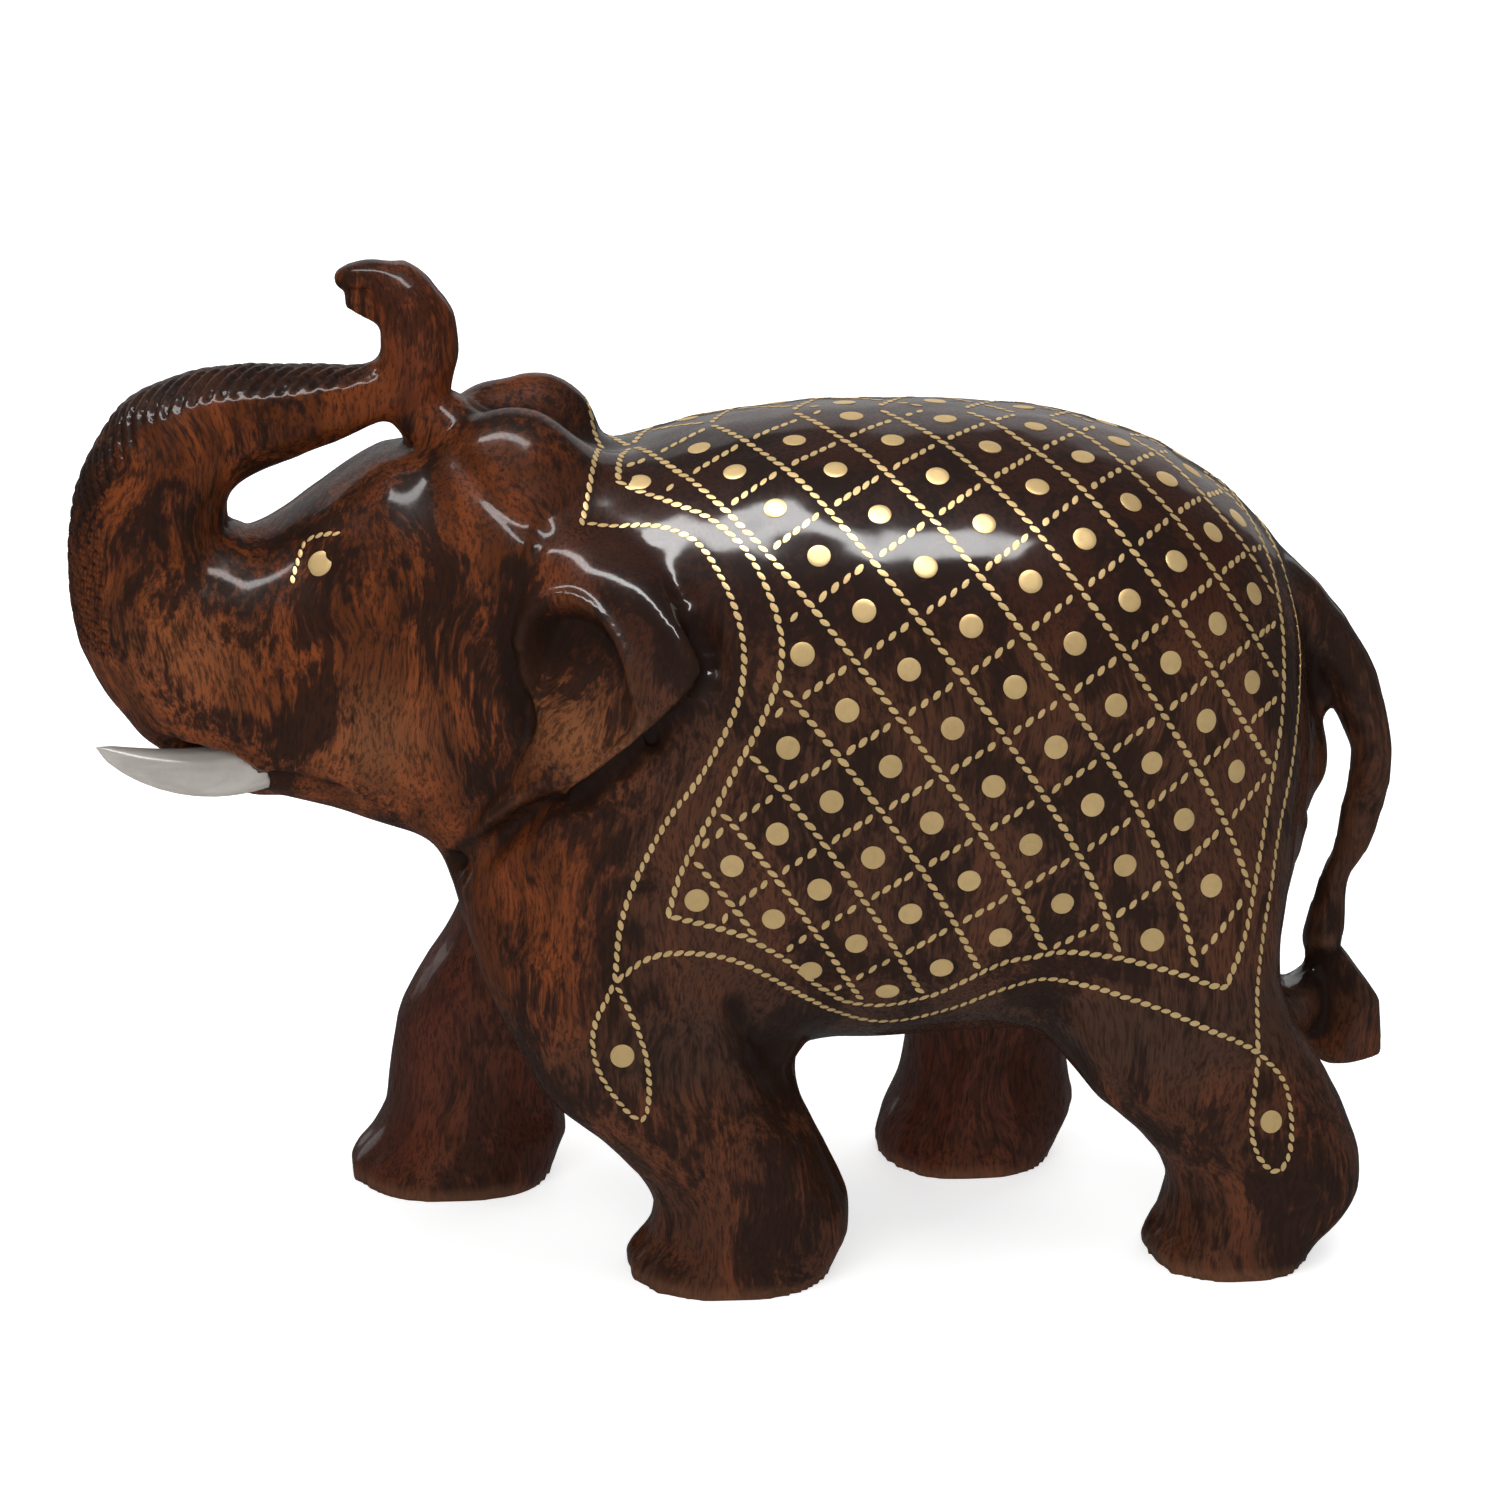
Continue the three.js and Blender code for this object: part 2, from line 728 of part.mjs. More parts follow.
// The places along one long wire of the lattice, held in from the border and the ridge. The spacing is
// between the middles of two wires, so a smaller figure leaves more of each lattice step free.
const WIRE_SPACING = WIRE_WIDTH + 1.3;
const LATTICE_STEP = 11.5 * Math.min(STRETCH.x, STRETCH.y, STRETCH.z);
const WIRE_MARGIN = WIRE_SPACING / LATTICE_STEP;
const WIRE_STEP = 0.55;
function latticeWire(i, side) {
  const fine = [];
  for (let j = -LATTICE_REACH; j <= LATTICE_REACH; j += 0.04) {
    const place = lattice(i, j);
    const clear = [-WIRE_MARGIN, WIRE_MARGIN].every((m) => insideBorder(lattice(i, j + m), side));
    if (clear && place[1] < RIDGE - 0.6) fine.push(j);
    else if (fine.length > 0 && place[1] < 60) break;
  }
  if (fine.length === 0) return [];
  const [from, to] = [fine[0], fine[fine.length - 1]];
  const count = Math.ceil((to - from) / WIRE_STEP);
  return Array.from({ length: count + 1 }, (_, k) => lattice(i, from + ((to - from) * k) / count));
}

// ---------------------------------------------------------------- inlay pieces

// A flat strip laid over the wood through places on the hide, held off it by the inlay gap.
function strip(places, side, closed = false) {
  const spots = places.map((place) => onHide(place, side));
  const count = spots.length;
  const positions = [];
  spots.forEach(({ point, normal }, k) => {
    const before = spots[closed ? (k + count - 1) % count : Math.max(k - 1, 0)].point;
    const after = spots[closed ? (k + 1) % count : Math.min(k + 1, count - 1)].point;
    const across = new THREE.Vector3().crossVectors(after.clone().sub(before), normal).normalize();
    for (const [sideways, height] of [
      [-0.5, INLAY_GAP],
      [0.5, INLAY_GAP],
      [0.5, INLAY_GAP + WIRE_THICKNESS],
      [-0.5, INLAY_GAP + WIRE_THICKNESS],
    ]) {
      const corner = point.clone().addScaledVector(across, sideways * WIRE_WIDTH);
      positions.push(...corner.addScaledVector(normal, height).toArray());
    }
  });
  const triangles = [];
  for (let k = 0; k < (closed ? count : count - 1); k++)
    for (let c = 0; c < 4; c++) {
      const [a, b] = [4 * k + c, 4 * k + ((c + 1) % 4)];
      const [far, farNext] = [4 * ((k + 1) % count) + c, 4 * ((k + 1) % count) + ((c + 1) % 4)];
      triangles.push(a, farNext, b, a, far, farNext);
    }
  if (!closed) {
    const end = 4 * (count - 1);
    triangles.push(0, 1, 2, 0, 2, 3, end, end + 2, end + 1, end, end + 3, end + 2);
  }
  const geometry = new THREE.BufferGeometry();
  geometry.setAttribute("position", new THREE.Float32BufferAttribute(positions, 3));
  geometry.setIndex(triangles);
  geometry.computeVertexNormals();
  return geometry;
}

const DISC_SIDES = 10;
const discGeometry = (diameter) =>
  new THREE.CylinderGeometry(diameter / 2, diameter / 2, DISC_THICKNESS, DISC_SIDES);

// ---------------------------------------------------------------- tusks

// A tusk leaves the cheek forwards, outwards and a little down, and curls up to its point.
const TUSK_ROOT = { x: -72, out: 10.5, z: 81 };
const TUSK_DIP = -18; // degrees at the root
const TUSK_CURL = 34; // radius
const TUSK_SPLAY = 7; // degrees outwards
const TUSK_SIDES = 14;
const TUSK_RINGS = 10;

// The solid of a tusk, peg and all, swollen by a clearance to make its socket.
function tusk(length, side, clearance) {
  const root = new THREE.Vector3(TUSK_ROOT.x, TUSK_ROOT.out * SIDES[side], TUSK_ROOT.z).multiply(STRETCH);
  const dip = THREE.MathUtils.degToRad(TUSK_DIP);
  const splay = THREE.MathUtils.degToRad(TUSK_SPLAY);
  const spot = (along) => {
    const bend = Math.max(along, 0) / TUSK_CURL;
    const straight = Math.min(along, 0);
    const forward = TUSK_CURL * (Math.sin(dip + bend) - Math.sin(dip)) + straight * Math.cos(dip);
    const up = TUSK_CURL * (Math.cos(dip) - Math.cos(dip + bend)) + straight * Math.sin(dip);
    const out = forward * Math.sin(splay) * SIDES[side];
    const point = new THREE.Vector3(-forward * Math.cos(splay), out, up).add(root);
    return { point, pitch: dip + bend };
  };
  const rings = [
    [-TUSK_PEG_DEPTH - clearance, TUSK_PEG_DIAMETER / 2 + clearance],
    [-clearance, TUSK_PEG_DIAMETER / 2 + clearance],
    [-clearance, TUSK_DIAMETER / 2 + clearance],
  ];
  for (let k = 1; k < TUSK_RINGS; k++) {
    const share = k / TUSK_RINGS;
    rings.push([share * length, (TUSK_DIAMETER / 2) * (1 - share ** 2.2) ** 0.7 + clearance]);
  }
  const positions = [];
  for (const [along, radius] of rings) {
    const { point, pitch } = spot(along);
    const sideways = new THREE.Vector3(Math.sin(splay) * SIDES[side], Math.cos(splay), 0);
    const heading = new THREE.Vector3(-Math.cos(splay), Math.sin(splay) * SIDES[side], 0);
    const lift = heading.multiplyScalar(-Math.sin(pitch)).setZ(Math.cos(pitch));
    for (let k = 0; k < TUSK_SIDES; k++) {
      const turn = (2 * Math.PI * k) / TUSK_SIDES;
      const rim = point.clone().addScaledVector(lift, radius * Math.cos(turn));
      positions.push(...rim.addScaledVector(sideways, radius * Math.sin(turn)).toArray());
    }
  }
  const [butt, tip] = [positions.length / 3, positions.length / 3 + 1];
  positions.push(...spot(rings[0][0]).point.toArray(), ...spot(length + clearance).point.toArray());
  const triangles = [];
  for (let k = 0; k < TUSK_SIDES; k++) {
    const next = (k + 1) % TUSK_SIDES;
    const end = TUSK_SIDES * (rings.length - 1);
    triangles.push(butt, next, k, tip, end + k, end + next);
    for (let ring = 0; ring < rings.length - 1; ring++) {
      const [a, b] = [TUSK_SIDES * ring + k, TUSK_SIDES * ring + next];
      triangles.push(a, b + TUSK_SIDES, a + TUSK_SIDES, a, b, b + TUSK_SIDES);
    }
  }
  const geometry = new THREE.BufferGeometry();
  geometry.setAttribute("position", new THREE.Float32BufferAttribute(positions, 3));
  geometry.setIndex(triangles);
  geometry.computeVertexNormals();
  return geometry;
}

// ---------------------------------------------------------------- build

const WOOD = new THREE.MeshStandardMaterial({ color: 0x4a2616, roughness: 0.25, metalness: 0 });
const BRASS = new THREE.MeshStandardMaterial({ color: 0xc9a45c, roughness: 0.35, metalness: 1 });
const BONE = new THREE.MeshStandardMaterial({ color: 0xe6e0d2, roughness: 0.35, metalness: 0 });

const figure = new THREE.Group();

function addMesh(name, geometry, material) {
  const mesh = new THREE.Mesh(geometry, material);
  mesh.name = name;
  figure.add(mesh);
  return mesh;
}

function addDisc(name, place, side, diameter) {
  const disc = addMesh(name, discGeometry(diameter), BRASS);
  const { point, normal } = onHide(place, side);
  disc.position.copy(point).addScaledVector(normal, INLAY_GAP + DISC_THICKNESS / 2);
  disc.quaternion.setFromUnitVectors(new THREE.Vector3(0, 1, 0), normal);
}

function addStrip(name, places, side, closed = false) {
  addMesh(name, strip(places, side, closed), BRASS);
}

const TUSK_LENGTHS = { left: LEFT_TUSK_LENGTH, right: RIGHT_TUSK_LENGTH };

function addBody() {
  const ground = new THREE.BoxGeometry(4 * LENGTH, 4 * WIDTH, HEIGHT).translate(0, 0, -HEIGHT / 2);
  let body = solidOf(netOf(GRID)).subtract(solidOf(ground));
  for (const side in SIDES) body = body.subtract(solidOf(tusk(TUSK_LENGTHS[side], side, FIT_GAP)));
  addMesh("carved_body", geometryOf(body), WOOD);
}

function addSide(side) {
  const fit = (places) => places.map((place) => fitted(place, side));
  addMesh(`tusk_${side}`, tusk(TUSK_LENGTHS[side], side, 0), BONE);
  addDisc(`eye_disc_${side}`, EYE, side, EYE_DISC_DIAMETER);
  addStrip(`brow_wire_${side}`, run(BROW, 6), side);
  addStrip(`outer_border_${side}`, fit(outerBorder), side);
  addStrip(`inner_border_${side}`, fit(innerBorder), side);
  addStrip(`front_pendant_${side}`, fit(run(FRONT_PENDANT, 14, true).slice(0, -1)), side, true);
  addStrip(`rear_pendant_${side}`, fit(run(REAR_PENDANT, 14, true).slice(0, -1)), side, true);
  for (const end in PENDANT_DISCS)
    addDisc(`${end}_pendant_disc_${side}`, fitted(PENDANT_DISCS[end], side), side, DISC_DIAMETER);
  for (let i = -LATTICE_REACH; i <= LATTICE_REACH; i++) {
    const places = latticeWire(i + 0.5, side);
    if (places.length > 3) addStrip(`lattice_wire_${i + LATTICE_REACH}_${side}`, places, side);
  }
  for (let j = -DISC_ROW; j <= DISC_ROW; j++)
    addDisc(`cloth_disc_${j + DISC_ROW + 1}_${side}`, lattice(0, j), side, DISC_DIAMETER);
}

addBody();
for (const side in SIDES) addSide(side);

// The origin goes under the middle of the whole figure.
const middle = new THREE.Box3().setFromObject(figure).getCenter(new THREE.Vector3());
figure.position.set(-middle.x, -middle.y, 0);
const root = new THREE.Group();
root.add(figure);

export default root;
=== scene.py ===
"""The finished look of the carved wooden elephant: the carving, its brass inlay and its tusks.

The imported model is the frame. The carving starts from a copy of the carved body, gains small masses, is
carved with strokes and creases, and then takes the brass inlay on its surface.
"""

import math

import bmesh
import bpy
import numpy as np
from mathutils import Matrix, Vector
from mathutils.bvhtree import BVHTree


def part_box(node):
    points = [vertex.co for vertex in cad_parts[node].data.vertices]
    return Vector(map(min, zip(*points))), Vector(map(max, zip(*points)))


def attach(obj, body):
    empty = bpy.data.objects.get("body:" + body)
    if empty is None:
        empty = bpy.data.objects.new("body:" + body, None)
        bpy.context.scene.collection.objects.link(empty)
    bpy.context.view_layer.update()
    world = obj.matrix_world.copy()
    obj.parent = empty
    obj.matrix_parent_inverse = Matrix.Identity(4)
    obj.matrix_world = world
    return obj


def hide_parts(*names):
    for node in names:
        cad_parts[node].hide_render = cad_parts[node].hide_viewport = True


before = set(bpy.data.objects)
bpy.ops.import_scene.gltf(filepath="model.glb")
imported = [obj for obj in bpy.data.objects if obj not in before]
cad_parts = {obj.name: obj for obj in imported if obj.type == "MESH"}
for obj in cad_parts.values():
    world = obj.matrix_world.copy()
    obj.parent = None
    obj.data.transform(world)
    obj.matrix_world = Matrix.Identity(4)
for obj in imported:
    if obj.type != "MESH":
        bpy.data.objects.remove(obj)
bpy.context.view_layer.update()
bpy.ops.object.select_all(action="DESELECT")

MM = 0.001
SIDES = {"left": -1, "right": 1}
random = np.random.default_rng(7)


# ---------------- handling pieces


def only(piece):
    """Makes a piece the one that operators act on."""
    bpy.ops.object.select_all(action="DESELECT")
    piece.select_set(True)
    bpy.context.view_layer.objects.active = piece


def copy_of_node(node, name):
    """A copy of a CAD node with its doubled vertices merged."""
    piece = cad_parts[node].copy()
    piece.data = piece.data.copy()
    piece.name = name
    piece.parent = None
    piece.matrix_world = Matrix.Identity(4)
    for key in list(piece.keys()):
        del piece[key]
    bpy.context.scene.collection.objects.link(piece)
    only(piece)
    bpy.ops.object.mode_set(mode="EDIT")
    bpy.ops.mesh.select_all(action="SELECT")
    bpy.ops.mesh.remove_doubles(threshold=0.002 * MM)
    bpy.ops.object.mode_set(mode="OBJECT")
    return piece


def apply_modifier(piece, kind, **settings):
    only(piece)
    modifier = piece.modifiers.new(kind.lower(), kind)
    for key, value in settings.items():
        setattr(modifier, key, value)
    bpy.ops.object.modifier_apply(modifier=modifier.name)


def join(piece, others):
    only(piece)
    for other in others:
        other.select_set(True)
    bpy.ops.object.join()


def set_place(piece):
    """Puts a piece's place, turn and size into its mesh."""
    only(piece)
    bpy.ops.object.transform_apply(location=True, rotation=True, scale=True)


def finish_piece(piece, material, replaced):
    piece.data.materials.clear()
    piece.data.materials.append(material)
    only(piece)
    bpy.ops.object.shade_smooth()
    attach(piece, "root")
    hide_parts(*replaced)


# ---------------- curves, in millimetres


def ramp(low, high, value):
    """0 below low, 1 above high and smooth between."""
    t = np.clip((value - low) / (high - low), 0, 1)
    return t * t * (3 - 2 * t)


def bump(distance, width):
    return np.exp(-((distance / width) ** 2))


def curve(points, steps, closed=False):
    """A smooth run through points, with the same number of steps between each pair."""
    p = np.array(points, float)
    if closed:
        p = np.vstack([p[-1:], p, p[:2]])
    else:
        p = np.vstack([2 * p[0] - p[1], p, 2 * p[-1] - p[-2]])
    t = np.linspace(0, 1, steps, endpoint=False)[:, None]
    runs = []
    for a, b, c, d in zip(p, p[1:], p[2:], p[3:]):
        square, cube = 2 * a - 5 * b + 4 * c - d, 3 * b - a - 3 * c + d
        runs.append(0.5 * (2 * b + (c - a) * t + square * t**2 + cube * t**3))
    if not closed:
        runs.append(p[-2][None])
    return np.vstack(runs)


def off_route(u, v, route):
    """How far points (u, v) are from a route, and how far along it they are, 0 to 1."""
    nearest = np.full(len(u), np.inf)
    along = np.zeros(len(u))
    lengths = np.hypot(*np.diff(route, axis=0).T)
    reached = np.concatenate([[0], np.cumsum(lengths)])
    for start, a, b, length in zip(reached, route, route[1:], lengths):
        step = b - a
        t = np.clip(((u - a[0]) * step[0] + (v - a[1]) * step[1]) / max(length**2, 1e-9), 0, 1)
        distance = np.hypot(u - a[0] - t * step[0], v - a[1] - t * step[1])
        closer = distance < nearest
        nearest[closer] = distance[closer]
        along[closer] = (start + t * length)[closer] / reached[-1]
    return nearest, along


def off_outline(u, v, outline):
    """Signed distance of points (u, v) to a closed outline, negative inside."""
    closed = np.vstack([outline, outline[:1]])
    nearest, _ = off_route(u, v, closed)
    inside = np.zeros(len(u), bool)
    for a, b in zip(closed, closed[1:]):
        spans = (a[1] > v) != (b[1] > v)
        rise = b[1] - a[1] if abs(b[1] - a[1]) > 1e-9 else 1e-9
        inside ^= spans & (u < a[0] + (v - a[1]) * (b[0] - a[0]) / rise)
    return np.where(inside, -nearest, nearest)


def ripples(points, wavelength, count=14):
    """A gentle unevenness of about -1 to 1 made of waves in many directions."""
    total = np.zeros(len(points))
    for _ in range(count):
        direction = random.normal(size=3)
        direction /= np.linalg.norm(direction)
        length = wavelength * random.uniform(0.7, 1.5)
        total += np.sin(points @ direction * 2 * math.pi / length + random.uniform(0, 2 * math.pi))
    return total / math.sqrt(count)


# ---------------- the carving's masses

VOXEL = 1.0  # mm
# Small masses that the plain body lacks: centre, radii and tilt about the crosswise axis, mm and degrees.
MASSES = {
    "left_dome": [(-31.5, -7.2, 119.8), (11, 8.6, 10), 0],
    "right_dome": [(-29.8, 8.8, 121), (10.6, 9.2, 12.6), 0],
    "trunk_finger": [(-55.6, 0, 144.8), (5.8, 2.3, 2.0), 28],
    "trunk_tip": [(-55.4, 0, 150.6), (6.6, 3.8, 2.4), -6],
    "trunk_rest": [(-45.2, 0, 129.2), (7.4, 6.2, 5.2), 0],
    "lower_lip": [(-70.5, 0, 73.2), (7.4, 7.5, 2.2), -6],
    "rump": [(81.2, 0, 73.5), (9.9, 15, 17.5), 0],
    "tail_web": [(88.5, 0, 82), (4.8, 3.6, 4.8), 0],
    "tail_tuft": [(97, 0, 28.6), (7.6, 5.4, 9.4), -8],
}


def add_mass(name, centre, radii, tilt):
    bpy.ops.mesh.primitive_uv_sphere_add(segments=32, ring_count=18, radius=MM)
    mass = bpy.context.object
    mass.name = name
    mass.scale = radii
    mass.rotation_euler = (0, math.radians(tilt), 0)
    mass.location = [c * MM for c in centre]
    set_place(mass)
    return mass


def rough_carving():
    """The body and its small masses as one even skin."""
    body = copy_of_node("carved_body", "carving")
    masses = [add_mass(name, *values) for name, values in MASSES.items()]
    join(body, masses)
    apply_modifier(body, "REMESH", mode="VOXEL", voxel_size=VOXEL * MM)
    return body


# ---------------- strokes of the knife

# Lines on the side of the head and ear, as x and z in millimetres.
EAR_RIM = [
    [-31, 118], [-22.3, 115.8], [-17.5, 113], [-13, 108.4], [-10.2, 103.5], [-9, 99], [-13.5, 94],
    [-19.6, 88.5], [-25.5, 83], [-29.7, 80.2], [-33, 79.4], [-36.5, 76], [-40.5, 72], [-44.5, 65.5],
]
EAR_ROOT = [
    [-31.5, 117], [-34.7, 110.8], [-36.7, 103], [-36.6, 96], [-35.6, 87], [-38.4, 80.7], [-43, 74],
    [-45, 67.5],
]
EAR_ARCH = [
    [-34.6, 101.5], [-33, 106], [-28.8, 108.3], [-24.8, 107.3], [-22.1, 104.3], [-20.1, 99.5],
    [-18.4, 93],
]
EAR_BOWL = EAR_ARCH + [[-22.5, 87], [-28, 83.5], [-34, 85], [-35.3, 93]]
TEMPLE_CREASE = [[-42.5, 126], [-38.5, 121.5], [-34.5, 118.4], [-30.5, 117.6]]
LOBE_EDGE = [[-31, 78.8], [-34, 77.6], [-37.4, 74.4], [-41.4, 70.2], [-45, 64.4]]
LIP_CREASE = [[-77, 76], [-71, 77.5], [-65.5, 76.4], [-60, 73.5]]
TRUNK_LOOP = (-71, 110)  # x and z of the middle of the trunk's curl
# Places that strokes are centred on, as x and z in millimetres.
SPOTS = {
    "nape": (-23, 122), "forehead_edge": (-51, 120), "trunk_end": (-56, 149), "behind_ear": (-6.6, 93),
    "chin": (-96, 84), "upper_rump": (80, 113), "tail_foot": (87.5, 40.5), "brow": (-43.5, 127),
    "temple": (-52, 105), "eye_socket": (-64.5, 110.5), "cheek": (-67, 88), "ear_bowl": (-27.5, 89),
    "jaw": (-57, 85), "trunk_base": (-84, 98),
}


class Carving:
    """The skin of the carving as numbers, in millimetres, to be pushed in and out along its normals."""

    def __init__(self, piece):
        self.piece = piece
        count = len(piece.data.vertices)
        values = np.empty(count * 3)
        piece.data.vertices.foreach_get("co", values)
        self.co = values.reshape(-1, 3) / MM
        edges = np.empty(len(piece.data.edges) * 2, int)
        piece.data.edges.foreach_get("vertices", edges)
        self.edges = edges.reshape(-1, 2)
        self.degree = np.maximum(np.bincount(self.edges.ravel(), minlength=count), 1)
        self.read_normals()
        self.sideways = self.spread(self.normal[:, 1], 12)

    def read_normals(self):
        values = np.empty(len(self.co) * 3)
        self.piece.data.vertices.foreach_get("normal", values)
        self.normal = values.reshape(-1, 3)

    def store(self):
        self.piece.data.vertices.foreach_set("co", (self.co * MM).ravel())
        self.piece.data.update()
        self.read_normals()

    def spread(self, values, times):
        """Values averaged with those of the neighbouring vertices."""
        for _ in range(times):
            values = 0.5 * values + 0.5 * self.around(values)
        return values

    def smooth(self, times):
        """Evens the skin out without thinning the carving."""
        for _ in range(times):
            for share in (0.55, -0.57):
                self.co += share * (self.middles() - self.co)
        self.store()

    def relax(self, share, times):
        """Evens the skin out by a share that differs from place to place."""
        for _ in range(times):
            self.co += share[:, None] * (self.middles() - self.co)
        self.store()

    def around(self, values):
        a, b = self.edges.T
        total = np.bincount(a, values[b], len(values)) + np.bincount(b, values[a], len(values))
        return total / self.degree

    def middles(self):
        """The middle of each vertex's neighbours."""
        return np.stack([self.around(self.co[:, k]) for k in range(3)], 1)

    def hollow(self):
        """How hollow the skin is at each vertex: above 0 in creases, below 0 on ridges."""
        a, b = self.edges.T
        length = np.linalg.norm(self.co[a] - self.co[b], axis=1).mean()
        return ((self.middles() - self.co) * self.normal).sum(1) / length

    def push(self, amount, here=slice(None)):
        self.co[here] += self.normal[here] * np.asarray(amount)[:, None]
        self.store()

    def where(self, side, x, z, out=8):
        """The vertices on a side within reach of x and z, as numbers."""
        px, py, pz = self.co.T
        inside = (px > x[0]) & (px < x[1]) & (pz > z[0]) & (pz < z[1]) & (py * side > out)
        return np.flatnonzero(inside & (self.sideways * side > 0.1))

    def facing(self, side):
        """1 where the skin faces a side, 0 where it faces away."""
        return ramp(0.12, 0.5, self.sideways * side)


def dab(x, z, spot, width):
    """The share of a round stroke at points x and z: 1 in the middle of its spot."""
    return bump(np.hypot(x - SPOTS[spot][0], z - SPOTS[spot][1]), width)


EAR_DEPTHS = {  # mm
    "rim": 1.3, "undercut": 3.0, "flap": 0.5, "root": 1.0, "middle_of_root": 1.3, "lobe": 1.5, "fold": 1.5,
    "bowl": 1.0, "top_of_bowl": 3.6, "arch": 0.9,
}


def carve_ear(carving, side):
    """The flap stands off the shoulder, with a raised rim and a bowl under an arch."""
    depth = EAR_DEPTHS
    here = carving.where(side, (-52, 0), (58, 124), 10)
    x, _, z = carving.co[here].T
    there = carving.facing(side)[here]
    rim = np.vstack([curve(EAR_RIM, 6), curve(EAR_ROOT, 6)[::-1]])
    edge = off_outline(x, z, rim)
    from_root, _ = off_route(x, z, curve(EAR_ROOT, 6))
    from_rim, _ = off_route(x, z, curve(EAR_RIM, 6))
    free = ramp(0, 3, from_root - from_rim)
    behind = free * (0.08 + 0.92 * ramp(112, 104, z))
    sharp = free * ramp(113, 101, z)
    lifted = depth["rim"] * bump(edge + 1.6, 1.6) * sharp
    undercut = depth["undercut"] * bump(edge - 1.9, 1.8) * behind
    flap = depth["flap"] * ramp(0, -6, edge)
    from_lobe, _ = off_route(x, z, curve(LOBE_EDGE, 6))
    root_depth = depth["root"] + depth["middle_of_root"] * bump(z - 91, 7)
    root_line = root_depth * bump(from_root, 1.2) * ramp(80, 88, z)
    lobe = depth["lobe"] * bump(from_lobe, 1.1)
    fold = depth["fold"] * bump(from_root, 1.2) * ramp(84, 78, z)
    carving.push(there * (lifted + flap - undercut - root_line - lobe - fold), here)

    x, _, z = carving.co[here].T
    bowl = off_outline(x, z, curve(EAR_BOWL, 6, closed=True))
    from_arch, _ = off_route(x, z, curve(EAR_ARCH, 6))
    deep = ramp(84, 104, z)
    hollow = (depth["bowl"] + depth["top_of_bowl"] * deep) * ramp(0.2, -1.9, bowl)
    ridge = depth["arch"] * bump(from_arch - 0.5, 1.0)
    carving.push(there * (ridge - hollow), here)


HEAD_DABS = {"brow": (4.2, 0.5), "temple": (9, -1.3), "eye_socket": (4.2, -0.8), "cheek": (11, 0.9)}


def carve_head(carving, side):
    here = carving.where(side, (-90, -24), (60, 135), 4)
    x, _, z = carving.co[here].T
    there = carving.facing(side)[here]
    crease, _ = off_route(x, z, curve(TEMPLE_CREASE, 6))
    lip, _ = off_route(x, z, curve(LIP_CREASE, 6))
    dabs = sum(height * dab(x, z, spot, width) for spot, (width, height) in HEAD_DABS.items())
    carving.push(there * (dabs - 0.9 * bump(crease, 2.0) - 1.2 * bump(lip, 1.1)), here)


def carve_crown(carving):
    """The valley between the two domes, which runs down the forehead."""
    x, y, z = carving.co.T
    up = ramp(0.2, 0.7, carving.normal[:, 2])
    here = up * ramp(112, 122, z) * ramp(-50, -42, x) * ramp(-12, -22, x)
    carving.push(-1.5 * here * bump(y, 4.2))


NOTCH_PITCH = 1.65  # mm between the notches along the trunk
NOTCH_RADIUS = 21  # mm from the middle of the curl, where the pitch is measured
NOTCH_SLANT = 0.55


def carve_trunk(carving):
    """Slanting notches across the top of the trunk. Gives how strongly each vertex is notched."""
    x, y, z = carving.co.T
    out = np.stack([x - TRUNK_LOOP[0], z - TRUNK_LOOP[1]], 1)
    reach = np.linalg.norm(out, axis=1)
    facing = (carving.normal[:, 0] * out[:, 0] + carving.normal[:, 2] * out[:, 1]) / reach
    turn = np.unwrap(np.arctan2(out[:, 1], -out[:, 0]))
    top = ramp(0.6, 1.2, turn)
    here = ramp(0.72 - 0.22 * top, 0.92 - 0.14 * top, facing) * ramp(-51, -54, x)
    here = here * ramp(0.2, 0.6, turn) * (reach > 12) * (reach < 36)
    along = turn * NOTCH_RADIUS + NOTCH_SLANT * np.abs(y)
    notch = np.abs(np.sin(along * math.pi / NOTCH_PITCH)) ** 0.6
    deep = 0.14 + 0.62 * top
    carving.push(-here * deep * (1 - notch))
    return here * top


# Creases of the legs on each side: the line as x and z, its depth and its width, in millimetres.
LEG_CREASES = {
    -1: [
        ([[-4, 50], [-2.5, 44], [1.5, 37], [5.5, 29], [8, 23]], 1.6, 2.6),
        ([[-20, 62], [-14, 52], [-11, 42], [-9, 32]], 0.7, 4.5),
        ([[43, 46], [45, 38], [50, 31], [57, 25]], 1.2, 3.0),
    ],
    1: [
        ([[-10, 48], [-15, 38], [-21, 28]], 1.2, 2.8),
        ([[35, 52], [33, 44], [31.5, 34]], 1.0, 3.0),
    ],
}
# The middle of each foot as x and y, in millimetres.
TOES = {
    "left_front": (-14, -25), "right_front": (-56, 24), "left_rear": (66, -25), "right_rear": (31, 25),
}
TOE_PITCH = 7.5
TOE_GROOVE = 0.35
SOLE_FLARE = 0.6  # mm that the edge of each sole stands out


def carve_legs(carving, side):
    here = carving.where(side, (-60, 100), (0, 75))
    x, _, z = carving.co[here].T
    there = carving.facing(side)[here]
    for points, depth, width in LEG_CREASES[side]:
        distance, along = off_route(x, z, curve(points, 6))
        fade = ramp(0, 0.15, along) * ramp(1, 0.8, along)
        carving.push(-there * depth * bump(distance, width) * (0.4 + 0.6 * fade), here)


